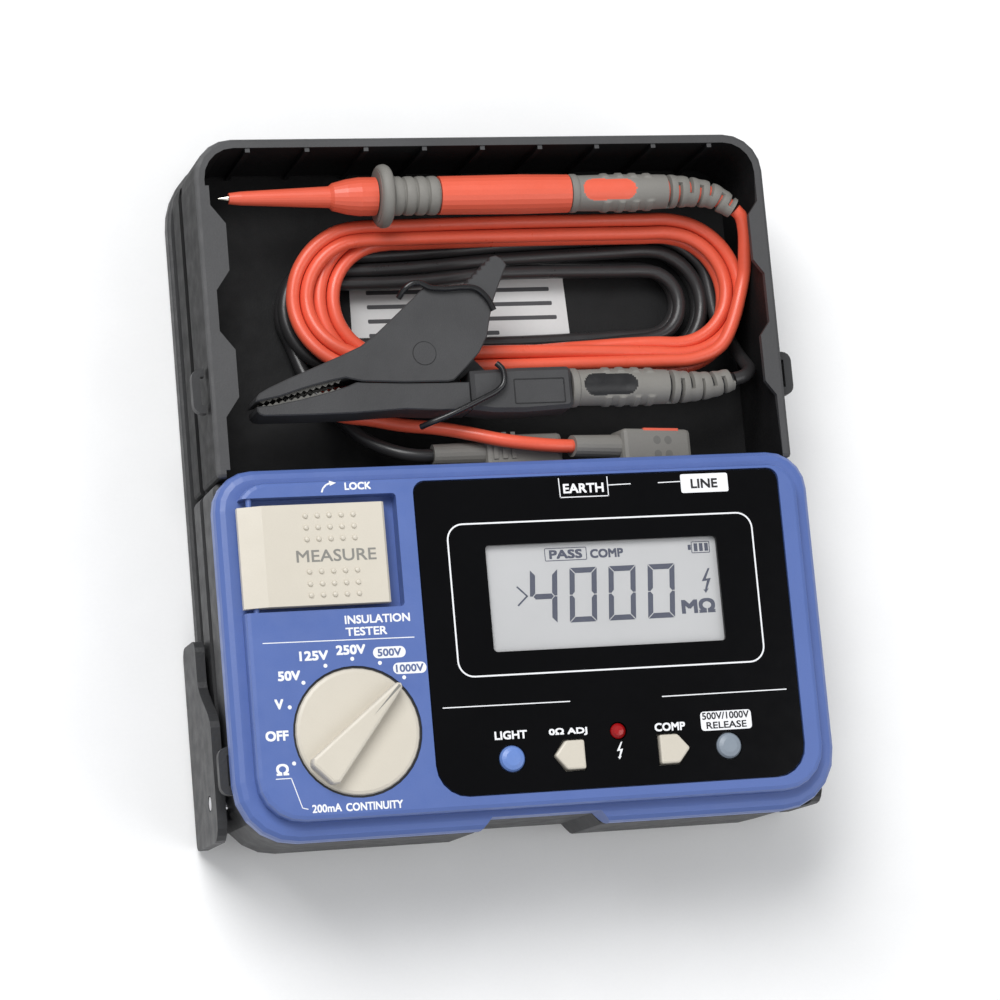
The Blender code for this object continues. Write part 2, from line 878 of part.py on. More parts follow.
def make_batteries():
    level = 20.5 * MM
    middle = -49.0 * MM
    for i in range(4):
        x = 34 * MM + (i - 1.5) * CELL_PITCH
        flip = 1 if i % 2 else -1
        cell = rod(
            f"battery_{i + 1}",
            (x, middle - flip * CELL_LENGTH / 2, level),
            (x, middle + flip * (CELL_LENGTH / 2 - 1.2 * MM), level),
            CELL_RADIUS,
            "cell_jacket",
        )
        tip = rod(
            f"battery_tip_{i}",
            (x, middle + flip * (CELL_LENGTH / 2 - 2 * MM), level),
            (x, middle + flip * CELL_LENGTH / 2, level),
            2.6 * MM,
            sides=16,
        )
        join(cell, tip)
    outline = rounded(2 * MM, 66 * MM, -78 * MM, -20 * MM, 1 * MM)
    extruded(
        "battery_cover",
        [outline, circle((34 * MM, -74 * MM), 1.6 * MM, 12)],
        PEDESTAL_BACK + 0.1 * MM,
        PEDESTAL_BACK + 2.2 * MM,
        "black_plastic",
    )
    turned(
        "battery_cover_screw",
        [
            (0, 11.5 * MM),
            (1.3 * MM, 11.0 * MM),
            (1.3 * MM, PEDESTAL_BACK + 2.6 * MM),
            (1.3 * MM, PEDESTAL_BACK - 0.2 * MM),
            (0, PEDESTAL_BACK - 0.2 * MM),
        ],
        (34 * MM, -74 * MM, 0),
        "steel",
        steps=16,
    )


def make_case_screws():
    for i, (x, y) in enumerate(SCREWS):
        turned(
            f"case_screw_{i + 1}",
            [
                (0, 45.5 * MM),
                (1.4 * MM, 44.5 * MM),
                (1.4 * MM, PEDESTAL_BACK + 2.5 * MM),
                (2.7 * MM, PEDESTAL_BACK + 1.9 * MM),
                (2.7 * MM, PEDESTAL_BACK + 0.6 * MM),
                (0, PEDESTAL_BACK + 0.6 * MM),
            ],
            (x, y, 0),
            "steel",
            steps=12,
        )


def make_terminals():
    """Sockets in the instrument's upper side, opening into the tray."""
    for label, x in TERMINALS.items():
        outer, mouth = SEAM - 9 * MM, SEAM - 0.2 * MM
        turned(
            f"{label}_terminal",
            [
                (2.6 * MM, mouth),
                (4.5 * MM, mouth),
                (4.5 * MM, outer),
                (0, outer),
                (0, outer + 1 * MM),
                (2.6 * MM, outer + 1 * MM),
                (2.6 * MM, mouth),
            ],
            (x, 0, TERMINAL_Z),
            "black_plastic" if label == "earth" else "probe_red",
            along="Y",
            steps=20,
        )


def make_cover():
    half, lip = CASE_HALF + 0.1 * MM, 2.7 * MM
    cover = extruded(
        "cover",
        rounded(-half, half, COVER_BOTTOM, COVER_TOP, 6 * MM, 20 * MM, 8),
        0,
        COVER_RIM,
        "black_plastic",
    )
    bevel(cover, 0.8 * MM, 2, 60)
    cut(
        cover,
        extruded(
            "cover_inside",
            rounded(
                -half + lip,
                half - lip,
                COVER_BOTTOM + 2 * MM,
                COVER_TOP - 2 * MM,
                4 * MM,
                18 * MM,
                8,
            ),
            1.8 * MM,
            COVER_RIM + 1 * MM,
        ),
    )
    for side in (-1, 1):
        cut(
            cover,
            rod(
                f"cover_pin_hole_{side}",
                (side * (CASE_HALF - 1.2 * MM), COVER_PIN[0], COVER_PIN[1]),
                (side * (CASE_HALF + 2 * MM), COVER_PIN[0], COVER_PIN[1]),
                1.5 * MM,
                sides=16,
            ),
        )
    return cover


def make_arm(side):
    """Flat link outside the base: its pin runs in the groove, its peg carries the cover."""
    back, narrow, wide = 0.9 * MM, 17.0 * MM, 29.4 * MM
    low, high = -89.0 * MM, -37.5 * MM
    outline = [
        *arc((low + 2 * MM, back + 2 * MM), 2 * MM, 180, 270, 3),
        *arc((high - 3 * MM, back + 3 * MM), 3 * MM, 270, 360, 4),
        *arc((high - 3 * MM, narrow - 3 * MM), 3 * MM, 0, 90, 4),
    ]
    for i in range(9):
        t = i / 8
        outline.append((-48 * MM - 13 * MM * t, narrow + (wide - narrow) * (3 * t * t - 2 * t**3)))
    outline += arc((low + 5 * MM, wide - 5 * MM), 5 * MM, 90, 180, 4)
    inside, outside = (ARM_INSIDE, ARM_OUTSIDE) if side > 0 else (-ARM_OUTSIDE, -ARM_INSIDE)
    word = "right" if side > 0 else "left"
    arm = extruded(
        f"hinge_arm_{word}",
        [outline, circle((ARM_PIN_Y, GROOVE_Z), 2.0 * MM, 16)],
        inside,
        outside,
        "black_plastic",
        axis="X",
    )
    peg = rod(
        f"arm_peg_{word}",
        (side * (CASE_HALF - 0.8 * MM), COVER_PIN[0], COVER_PIN[1]),
        (side * (ARM_INSIDE + 1 * MM), COVER_PIN[0], COVER_PIN[1]),
        1.2 * MM,
        sides=12,
    )
    join(arm, peg)
    pin = rod(
        f"groove_pin_{word}",
        (side * (CASE_HALF - GROOVE_DEPTH + GAP), ARM_PIN_Y, GROOVE_Z),
        (side * (ARM_OUTSIDE - 0.1 * MM), ARM_PIN_Y, GROOVE_Z),
        1.7 * MM,
        "steel",
        sides=16,
    )
    return arm, pin


def make_linkage():
    cover = make_cover()
    left_arm, left_pin = make_arm(-1)
    right_arm, right_pin = make_arm(1)
    slide = on_joint("groove_slide", (0, ARM_PIN_Y, GROOVE_Z), left_pin, right_pin)
    swing = on_joint("arm_axis", (0, ARM_PIN_Y, GROOVE_Z), left_arm, right_arm)
    tilt = on_joint("cover_axis", (0, COVER_PIN[0], COVER_PIN[1]), cover)
    swing.parent = slide
    swing.matrix_parent_inverse = Matrix.Translation((0, -ARM_PIN_Y, -GROOVE_Z))
    tilt.parent = swing
    tilt.matrix_parent_inverse = Matrix.Translation((0, -ARM_PIN_Y, -GROOVE_Z))


def stadium(left, right, low, high, steps=10):
    radius = (high - low) / 2
    middle = (high + low) / 2
    return [
        *arc((right - radius, middle), radius, -90, 90, steps),
        *arc((left + radius, middle), radius, 90, 270, steps),
    ]


def make_coil(name, left, right, low, high, back, front, look):
    """The outer shape of a hank of cord, two layers thick and three strands wide."""
    band = 6 * CORD_RADIUS
    extruded(
        name,
        [
            stadium(left, right, low, high),
            stadium(left + band, right - band, low + band, high - band),
        ],
        back,
        front,
        look,
    )


def make_probe():
    y, z = PROBE_AXIS
    turned(
        "probe_tip",
        [
            (0, -62.3 * MM),
            (0.8 * MM, -62.3 * MM),
            (0.8 * MM, -66.2 * MM),
            (0.2 * MM, -68.6 * MM),
            (0, -68.8 * MM),
        ],
        (0, y, z),
        "brass",
        along="X",
        steps=16,
    )
    turned(
        "probe_body",
        [
            (0, 22.9 * MM),
            (4.9 * MM, 22.9 * MM),
            (5.1 * MM, 10 * MM),
            (4.9 * MM, -11.6 * MM),
            (3.4 * MM, -11.6 * MM),
            (3.4 * MM, -28.2 * MM),
            (4.9 * MM, -28.2 * MM),
            (4.9 * MM, -32.5 * MM),
            (4.4 * MM, -36.0 * MM),
            (3.5 * MM, -39.4 * MM),
            (2.75 * MM, -40.3 * MM),
            (2.1 * MM, -55.0 * MM),
            (1.75 * MM, -63.0 * MM),
            (1.4 * MM, -66.0 * MM),
            (1.0 * MM, -66.0 * MM),
            (1.0 * MM, -62.0 * MM),
            (0, -62.0 * MM),
        ],
        (0, y, z),
        "probe_red",
        along="X",
    )
    turned(
        "probe_finger_guard",
        [
            (3.7 * MM, -11.9 * MM),
            (4.9 * MM, -11.9 * MM),
            (4.9 * MM, -23.9 * MM),
            (7.5 * MM, -24.4 * MM),
            (8.1 * MM, -25.3 * MM),
            (8.1 * MM, -26.8 * MM),
            (7.3 * MM, -27.9 * MM),
            (3.7 * MM, -27.9 * MM),
            (3.7 * MM, -11.9 * MM),
        ],
        (0, y, z),
        "grey_rubber",
        along="X",
    )


def tapered_boot(name, route, radii, look):
    """A round sleeve that narrows along a bent route."""
    curve = bpy.data.curves.new(name, "CURVE")
    curve.dimensions = "3D"
    curve.bevel_depth = 1.0
    curve.bevel_resolution = 3
    curve.use_fill_caps = True
    spline = curve.splines.new("POLY")
    spline.points.add(len(route) - 1)
    for point, place, radius in zip(spline.points, route, radii):
        point.co = (*place, 1)
        point.radius = radius
    return new_object(name, curve, look)


def make_boots():
    y, z = PROBE_AXIS
    route = [(23.2, 70.8), (38, 70.8), (51, 70.9), (57, 70.6), (62.5, 69.4), (67.2, 66.4)]
    tapered_boot(
        "probe_strain_relief",
        [(u * MM, v * MM, z) for u, v in route],
        [4.9 * MM, 5.0 * MM, 4.6 * MM, 3.9 * MM, 3.3 * MM, 2.8 * MM],
        "grey_rubber",
    )
    route = [(18.4, 19.6), (31, 19.5), (43, 19.2), (50, 19.0), (56.5, 19.3), (62, 20.4)]
    tapered_boot(
        "clip_strain_relief",
        [(u * MM, v * MM, CLIP_Z) for u, v in route],
        [5.0 * MM, 5.1 * MM, 4.7 * MM, 4.0 * MM, 3.4 * MM, 2.8 * MM],
        "grey_rubber",
    )


def make_clip():
    back, front = CLIP_Z - 5.5 * MM, CLIP_Z + 5.5 * MM
    lower_front = front - 0.8 * MM
    upper = [
        (-65.3, 17.5),
        (-64.2, 19.3),
        (-61.3, 20.9),
        (-48.5, 25.9),
        (-36.6, 30.8),
        (-29.0, 36.5),
        (-18.7, 45.5),
        (-6.0, 45.8),
        (0.6, 53.6),
        (3.2, 51.0),
        (-1.0, 42.2),
        (-2.6, 36.0),
        (-3.4, 32.6),
        (-6.2, 29.0),
        (-11.0, 26.6),
        (-30.0, 24.6),
        (-41.0, 22.6),
        (-52.4, 20.4),
    ]
    shell = extruded(
        "clip_upper_jaw",
        [
            [(x * MM, y * MM) for x, y in upper],
            circle((CLIP_PIVOT.x, CLIP_PIVOT.y), 2.0 * MM, 16),
        ],
        back,
        front,
        "black_rubber",
    )
    cheek = [(-38, 22), (-26, 21.3), (-13.3, 21.2), (-9.7, 24.6)]
    cheek += [(-7, 29), (-11.5, 27.2), (-30, 25.2), (-37, 24)]
    heel = [(x * MM, y * MM) for x, y in cheek]
    join(shell, extruded("clip_heel", heel, lower_front + 0.2 * MM, front))
    lower = [
        (-65.2, 16.4),
        (-65.2, 14.6),
        (-63.6, 13.7),
        (-39.0, 13.8),
        (-16.5, 14.2),
        (-9.0, 14.0),
        (-9.0, 20.9),
        (-26.0, 21.4),
        (-38.0, 21.9),
        (-45.0, 19.6),
        (-52.6, 17.8),
        (-60.1, 16.6),
    ]
    outline = [(x * MM, y * MM) for x, y in lower]
    jaw = extruded("clip_lower_jaw", outline, back, lower_front, "black_rubber")
    ear = [(-26, 16), (-10, 16), (-12, 31), (-15.5, 34), (-22, 34), (-25.5, 31)]
    web = extruded("clip_ear", [(x * MM, y * MM) for x, y in ear], back - 1.9 * MM, back - GAP)
    foot = box("clip_ear_foot", (-25 * MM, 16 * MM, back - 1 * MM), (-12 * MM, 20 * MM, back + 1 * MM))
    grip_y = 19.0 * MM
    sleeve = rod("clip_grip_body", (-9.2 * MM, grip_y, CLIP_Z), (18 * MM, grip_y, CLIP_Z), 5.4 * MM)
    join(jaw, foot, web, sleeve)
    cut(
        jaw,
        rod(
            "ear_hole",
            (*CLIP_PIVOT.xy, back - 3 * MM),
            (*CLIP_PIVOT.xy, back + 0.5 * MM),
            1.9 * MM,
            sides=16,
        ),
    )
    turned(
        "clip_pivot_pin",
        [
            (0, front + 1.1 * MM),
            (2.6 * MM, front + 1.0 * MM),
            (3.0 * MM, front + 0.3 * MM),
            (1.6 * MM, front + 0.3 * MM),
            (1.6 * MM, back - 1.9 * MM),
            (0, back - 1.9 * MM),
        ],
        CLIP_PIVOT,
        "black_plastic",
        steps=20,
    )
    over = front + 1.2 * MM
    bail = [(-0.6, 27.5), (0.8, 23.6), (-1.2, 20.5), (-8.5, 16.0), (-15, 12.6), (-20.5, 11.5)]
    tube(
        "clip_bail",
        [(x * MM, y * MM, over) for x, y in bail],
        0.75 * MM,
        "black_rubber",
        3 * MM,
    )
    on_joint("clip_jaw_axis", CLIP_PIVOT, shell)


def make_plug(name, x, tilt, look):
    """Right-angle plug, its pin in a terminal and its sleeve turned up by the tilt."""
    low, high = SEAM + 0.6 * MM, 9.0 * MM
    middle = 4.8 * MM
    half = 4.0 * MM
    head = box(
        name,
        (x - 13.8 * MM, low, TERMINAL_Z - half),
        (x + 6.5 * MM, high, TERMINAL_Z + half),
        look,
    )
    bevel(head, 1.2 * MM, 2, 60)
    sleeve = rod(
        name + "_sleeve",
        (x - 27 * MM, middle, TERMINAL_Z),
        (x - 13 * MM, middle, TERMINAL_Z),
        2.8 * MM,
        end_radius=3.1 * MM,
        sides=20,
    )
    contact = rod(
        name + "_contact",
        (x, low + 1 * MM, TERMINAL_Z),
        (x, SEAM - 7 * MM, TERMINAL_Z),
        2.0 * MM,
        sides=16,
    )
    pin = Vector((x, 0, TERMINAL_Z))
    swing = Matrix.Rotation(math.radians(tilt), 4, "Y")
    turn = Matrix.Translation(pin) @ swing @ Matrix.Translation(-pin)
    for piece in (head, sleeve, contact):
        piece.matrix_world = turn @ piece.matrix_world
    return join(head, sleeve, contact)


def make_cords():
    """The stretches of cord outside the coils."""
    routes = {
        "red_cord_from_probe": [
            (68.2, 65.75, 37.2),
            (69.6, 64.3, 37.1),
            (70.7, 60.5, 35.8),
            (70.9, 54.0, 33.4),
            (70.2, 48.0, 31.8),
            (68.2, 42.5, 31.7),
            (65.3, 37.5, 31.7),
        ],
        "red_cord_to_plug": [
            (-42.4, 25.4, 27.6),
            (-43.3, 22.6, 27.9),
            (-42.0, 19.4, 28.1),
            (-38.6, 17.0, 28.2),
            (-33.0, 15.6, 28.3),
            (-24.0, 13.4, 29.0),
            (-15.0, 11.6, 31.8),
            (-8.0, 9.4, 34.6),
            (0.0, 7.0, 36.6),
            (8.0, 5.5, 37.3),
            (14.6, 4.85, 36.9),
            (17.85, 4.8, 36.15),
        ],
        "black_cord_from_clip": [
            (63.0, 20.6, 37.5),
            (66.0, 21.4, 37.0),
            (68.8, 23.6, 34.2),
            (69.9, 26.8, 28.5),
            (70.3, 30.5, 22.8),
            (70.0, 34.0, 19.3),
            (69.1, 37.4, 18.8),
            (67.95, 40.5, 18.8),
        ],
        "black_cord_to_plug": [
            (-48.85, 31.35, 18.8),
            (-45.2, 27.4, 18.9),
            (-39.5, 18.5, 21.5),
            (-33.0, 10.4, 25.5),
            (-25.0, 5.9, 29.0),
            (-20.0, 4.85, 29.9),
            (-17.4, 4.8, 30.0),
        ],
    }
    for name, route in routes.items():
        look = "probe_red" if name.startswith("red") else "black_rubber"
        tube(name, [(x * MM, y * MM, h * MM) for x, y, h in route], CORD_RADIUS, look)


def main():
    make_lower_case()
    make_lead_tray()
    make_front_case()
    make_front_panel()
    make_buttons()
    make_knob()
    make_measure_key()
    make_electronics()
    make_batteries()
    make_case_screws()
    make_terminals()
    for side, word in ((-1, "left"), (1, "right")):
        make_strap_loop(f"strap_loop_upper_{word}", side, 15.9 * MM, 27.3 * MM, 79.0 * MM)
        make_strap_loop(f"strap_loop_lower_{word}", side, -78.7 * MM, -66.9 * MM, 79.4 * MM)
    make_linkage()
    black_outline = (-52.7 * MM, 66.3 * MM, 27.5 * MM, 64.2 * MM)
    make_coil("black_coil", *black_outline, 15.3 * MM, 22.3 * MM, "black_rubber")
    red_outline = (-52.0 * MM, 72.0 * MM, 26.0 * MM, 67.0 * MM)
    make_coil("red_coil", *red_outline, 22.6 * MM, 29.6 * MM, "probe_red")
    make_probe()
    make_boots()
    make_clip()
    make_plug("red_plug", TERMINALS["line"], 13, "grey_rubber")
    make_plug("black_plug", TERMINALS["earth"], 0, "grey_rubber")
    make_cords()


main()
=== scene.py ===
"""Looks of the insulation tester: finishes, printing, test leads and studio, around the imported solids."""

import math

import bmesh
import bpy
from mathutils import Matrix, Vector


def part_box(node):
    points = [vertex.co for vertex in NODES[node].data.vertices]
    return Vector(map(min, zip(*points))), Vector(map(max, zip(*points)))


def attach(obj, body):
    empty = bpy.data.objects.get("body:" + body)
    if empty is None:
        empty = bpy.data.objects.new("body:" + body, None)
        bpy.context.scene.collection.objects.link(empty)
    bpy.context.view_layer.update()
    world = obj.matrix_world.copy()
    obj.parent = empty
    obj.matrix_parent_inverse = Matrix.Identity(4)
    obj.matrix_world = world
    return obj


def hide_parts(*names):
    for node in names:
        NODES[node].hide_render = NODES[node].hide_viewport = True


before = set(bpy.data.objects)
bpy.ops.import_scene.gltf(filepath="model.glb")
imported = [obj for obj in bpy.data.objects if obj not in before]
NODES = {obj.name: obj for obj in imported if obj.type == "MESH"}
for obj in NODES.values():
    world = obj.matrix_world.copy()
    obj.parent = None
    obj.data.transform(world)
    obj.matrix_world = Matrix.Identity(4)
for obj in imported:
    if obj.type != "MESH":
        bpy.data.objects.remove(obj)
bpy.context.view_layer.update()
MM = 0.001
SCENE = bpy.context.scene



def corners(node):
    """A node's lowest and highest corners at rest, in millimetres."""
    return [[round(value / MM, 3) for value in corner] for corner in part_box(node)]


def top_of(node):
    return corners(node)[1][2]


def middle_of(node, axis):
    low, high = corners(node)
    return round((low[axis] + high[axis]) / 2, 3)


# Levels of the surfaces that carry printing, and the other sizes below, are in millimetres
KEY_BUMP = 0.6
PANEL_TOP = top_of("front_panel")
FACE_TOP = top_of("front_case")
KEY_TOP = round(top_of("measure_key") - KEY_BUMP, 3)
DISPLAY_TOP = top_of("display_module")
INK = 0.03
SEGMENT_INK = 0.04
CORD = 1.75
CORD_SPACING = 1.6
KNOB = (middle_of("selector_knob", 0), middle_of("selector_knob", 1))
PROBE_AXIS = (middle_of("probe_body", 1), middle_of("probe_body", 2))
CLIP_AXIS_LEVEL = 37.5
TRAY_FLOOR = 15.0
# Walls of the tray: half its inner width, its far inner face, and the level of its rim's underside; they
# bound the painted shade on the tray's inside and sides
TRAY_INNER = (73.5, 83.5)
TRAY_BOTTOM, TRAY_RIM = 14.0, 40.5


# ---------------------------------------------------------------- camera, lights and floor


def make_camera():
    camera = bpy.data.objects.new("camera", bpy.data.cameras.new("camera"))
    SCENE.collection.objects.link(camera)
    turn = Matrix(
        ((0.9601, -0.0872, 0.2657), (0.0385, 0.9823, 0.1833), (-0.2770, -0.1657, 0.9465))
    ).transposed()
    camera.matrix_world = Matrix.Translation((-0.2506, -0.1571, 0.8855)) @ turn.to_4x4()
    camera.data.sensor_width = 36
    camera.data.lens = 128.1
    camera.data.clip_start, camera.data.clip_end = 0.05, 20
    SCENE.camera = camera
    SCENE.view_settings.view_transform = "Standard"


def area_light(name, place, aim, size, power, colour=(1, 1, 1)):
    light = bpy.data.lights.new(name, "AREA")
    light.shape, light.size, light.energy, light.color = "SQUARE", size, power, colour
    made = bpy.data.objects.new(name, light)
    made.location = place
    made.rotation_euler = (Vector(aim) - Vector(place)).to_track_quat("-Z", "Y").to_euler()
    SCENE.collection.objects.link(made)


def make_studio():
    area_light("key_light", (-0.45, 0.65, 1.1), (0, 0, 0.03), 0.8, 16)
    area_light("fill_light", (0.75, -0.35, 1.0), (0, 0, 0.03), 0.9, 4)
    area_light("front_light", (-0.3, -0.8, 0.9), (0, 0, 0.03), 0.8, 1.5)
    world = bpy.data.worlds.new("studio")
    SCENE.world = world
    world.use_nodes = True
    shade = world.node_tree.nodes["Background"]
    shade.inputs["Color"].default_value = (0.95, 0.97, 1.0, 1)
    shade.inputs["Strength"].default_value = 0.36
    work = bmesh.new()
    bmesh.ops.create_grid(work, x_segments=2, y_segments=2, size=3)
    mesh = bpy.data.meshes.new("floor")
    work.to_mesh(mesh)
    work.free()
    floor = bpy.data.objects.new("floor", mesh)
    floor.location.z = -0.0004
    SCENE.collection.objects.link(floor)
    floor.data.materials.append(
        finish("floor", (0.94, 0.94, 0.94), 0.9, grain=(900, 0.00002), mottle=0.01)
    )


# ---------------------------------------------------------------- finishes


def link(tree, start, end):
    tree.links.new(start, end)


def finish(
    name,
    colour,
    roughness,
    grain=(1500, 0.00003),
    mottle=0.05,
    metallic=0.0,
    coat=0.0,
    specular=0.5,
    alpha=1.0,
    wear=0.0,
    wear_colour=(0.5, 0.5, 0.5),
    stripes=None,
    spread=0.07,
):
    """Moulded or metal surface: fine grain in the bump, slow mottling in colour and gloss."""
    made = bpy.data.materials.new(name)
    made.use_nodes = True
    tree = made.node_tree
    nodes = tree.nodes
    shader = nodes["Principled BSDF"]
    shader.inputs["Metallic"].default_value = metallic
    shader.inputs["Specular IOR Level"].default_value = specular
    shader.inputs["Coat Weight"].default_value = coat
    shader.inputs["Coat Roughness"].default_value = 0.08
    shader.inputs["Alpha"].default_value = alpha
    coord = nodes.new("ShaderNodeTexCoord")

    def noise(scale, detail, stretch=None):
        texture = nodes.new("ShaderNodeTexNoise")
        texture.inputs["Scale"].default_value = scale
        texture.inputs["Detail"].default_value = detail
        source = coord.outputs["Object"]
        if stretch:
            mapping = nodes.new("ShaderNodeMapping")
            mapping.inputs["Scale"].default_value = stretch
            link(tree, source, mapping.inputs["Vector"])
            source = mapping.outputs["Vector"]
        link(tree, source, texture.inputs["Vector"])
        return texture.outputs["Fac"]

    def ramp(value, low, high, first, second):
        made_ramp = nodes.new("ShaderNodeValToRGB")
        made_ramp.color_ramp.elements[0].position = low
        made_ramp.color_ramp.elements[1].position = high
        made_ramp.color_ramp.elements[0].color = (*first, 1)
        made_ramp.color_ramp.elements[1].color = (*second, 1)
        link(tree, value, made_ramp.inputs["Fac"])
        return made_ramp.outputs["Color"]

    broad = noise(45, 4)
    dark = [c * (1 - mottle) for c in colour]
    light = [min(1, c * (1 + mottle)) for c in colour]
    shade = ramp(broad, 0.35, 0.65, dark, light)
    speck = noise(grain[0] * 1.3, 1)
    mix = nodes.new("ShaderNodeMix")
    mix.data_type = "RGBA"
    mix.blend_type = "MULTIPLY"
    mix.inputs["Factor"].default_value = 1.0
    link(tree, shade, mix.inputs["A"])
    link(
        tree,
        ramp(speck, 0.3, 0.7, (1 - mottle,) * 3, (1, 1, 1)),
        mix.inputs["B"],
    )
    tone = mix.outputs["Result"]
    if wear:
        scuff = nodes.new("ShaderNodeMix")
        scuff.data_type = "RGBA"
        worn = ramp(noise(160, 6, (1, 4, 1)), 0.66, 0.74, (0, 0, 0), (wear,) * 3)
        link(tree, worn, scuff.inputs["Factor"])
        link(tree, tone, scuff.inputs["A"])
        scuff.inputs["B"].default_value = (*wear_colour, 1)
        tone = scuff.outputs["Result"]
    link(tree, tone, shader.inputs["Base Color"])
    gloss = nodes.new("ShaderNodeMapRange")
    gloss.inputs["From Min"].default_value = 0.3
    gloss.inputs["From Max"].default_value = 0.7
    gloss.inputs["To Min"].default_value = max(0.02, roughness - spread)
    gloss.inputs["To Max"].default_value = min(1, roughness + spread)
    link(tree, noise(240, 3), gloss.inputs["Value"])
    link(tree, gloss.outputs["Result"], shader.inputs["Roughness"])
    bump = nodes.new("ShaderNodeBump")
    bump.inputs["Strength"].default_value = 1.0
    bump.inputs["Distance"].default_value = grain[1]
    link(tree, noise(grain[0], 2, stripes), bump.inputs["Height"])
    link(tree, bump.outputs["Normal"], shader.inputs["Normal"])
    made.diffuse_color = (*colour, 1)
    return made


LOOKS = {
    "blue_plastic": finish("blue_plastic", (0.088, 0.148, 0.40), 0.38, (2200, 0.00002), 0.03),
    # The tray's inside and side finishes are darker copies of its rim's plastic: painted shade on its
    # hollow and walls, the rim being the lit copy.
    "tray_inside": finish(
        "tray_inside", (0.009, 0.009, 0.0095), 0.6, (1900, 0.00005), 0.1, specular=0.25,
    ),
    "tray_side_painted_shade": finish(
        "tray_side_painted_shade", (0.012, 0.012, 0.0125), 0.6, (1900, 0.00005), 0.1, specular=0.2,
    ),
    "tray_plastic": finish(
        "tray_plastic", (0.055, 0.055, 0.057), 0.55, (1900, 0.00005), 0.08, wear=0.2,
        wear_colour=(0.05, 0.05, 0.05),
    ),
    "case_plastic": finish("case_plastic", (0.024, 0.0245, 0.026), 0.52, (2100, 0.00005), 0.08),
    "cover_plastic": finish(
        "cover_plastic", (0.024, 0.0245, 0.026), 0.5, (1700, 0.00006), 0.08, wear=0.2,
        wear_colour=(0.06, 0.06, 0.06),
    ),
    "gloss_black": finish(
        "gloss_black", (0.0025, 0.0025, 0.003), 0.12, (500, 0.0000005), 0.1, specular=0.12,
        spread=0.02,
    ),
    "ivory": finish("ivory", (0.62, 0.575, 0.49), 0.42, (2400, 0.000018), 0.02),
    "blue_button": finish("blue_button", (0.135, 0.24, 0.58), 0.38, (1200, 0.00001), 0.03),
    "grey_button": finish("grey_button", (0.23, 0.27, 0.32), 0.38, (1200, 0.00001), 0.03),
    "red_lens": finish("red_lens", (0.33, 0.006, 0.008), 0.2, (300, 0.000004), 0.1, coat=0.2),
    "display": finish("display", (0.50, 0.50, 0.505), 0.35, (4000, 0.000002), 0.015),
    "segment": finish("segment", (0.022, 0.028, 0.065), 0.4, (4000, 0.000002), 0.05),
    "white_ink": finish("white_ink", (0.85, 0.86, 0.88), 0.45, (3000, 0.000003), 0.015),
    "dark_ink": finish("dark_ink", (0.01, 0.01, 0.012), 0.45, (3000, 0.000003), 0.05),
    "dial_ink": finish("dial_ink", (0.10, 0.14, 0.30), 0.45, (3000, 0.000003), 0.05),
    # A darker copy of the grey rubber: painted shade for the plug's dimples.
    "grey_shade": finish("grey_shade", (0.15, 0.146, 0.135), 0.6, (2000, 0.00003), 0.05),
    "teeth": finish("teeth", (0.20, 0.195, 0.18), 0.35, (900, 0.00001), 0.1, metallic=1.0),
    "key_ink": finish("key_ink", (0.23, 0.225, 0.205), 0.5, (3000, 0.000003), 0.05),
    "label": finish(
        "label", (0.66, 0.66, 0.655), 0.45, (700, 0.00001), 0.02, wear=0.15,
        wear_colour=(0.6, 0.6, 0.58),
    ),
    "label_ink": finish("label_ink", (0.06, 0.06, 0.065), 0.5, (3000, 0.000003), 0.1),
    "red": finish("red", (0.74, 0.115, 0.062), 0.40, (1800, 0.000012), 0.03),
    "red_cord": finish("red_cord", (0.80, 0.115, 0.06), 0.34, (900, 0.00001), 0.03),
    "black_cord": finish("black_cord", (0.030, 0.029, 0.030), 0.34, (900, 0.00001), 0.06),
    "grey_rubber": finish("grey_rubber", (0.205, 0.197, 0.18), 0.6, (2000, 0.00003), 0.04),
    "clip_plastic": finish("clip_plastic", (0.042, 0.042, 0.044), 0.6, (2600, 0.00006), 0.1),
    "clip_gloss": finish("clip_gloss", (0.014, 0.014, 0.015), 0.34, (1500, 0.00002), 0.06),
    "wire": finish("wire", (0.010, 0.010, 0.011), 0.26, (1200, 0.00001), 0.06),
    "steel": finish(
        "steel", (0.62, 0.62, 0.64), 0.26, (900, 0.000008), 0.05, metallic=1.0, stripes=(1, 8, 1),
    ),
    "nickel": finish("nickel", (0.74, 0.70, 0.60), 0.2, (1400, 0.000004), 0.04, metallic=1.0),
    "board": finish("board", (0.015, 0.10, 0.045), 0.4, (700, 0.00004), 0.25),
    "tape": finish("tape", (0.36, 0.24, 0.03), 0.45, (600, 0.00003), 0.1),
    "cell": finish("cell", (0.03, 0.03, 0.034), 0.3, (900, 0.000008), 0.08),
    "glass": finish(
        "glass", (0.85, 0.88, 0.9), 0.04, (200, 0.0000005), 0.02, specular=0.1, alpha=0.04,
        spread=0.01,
    ),
}

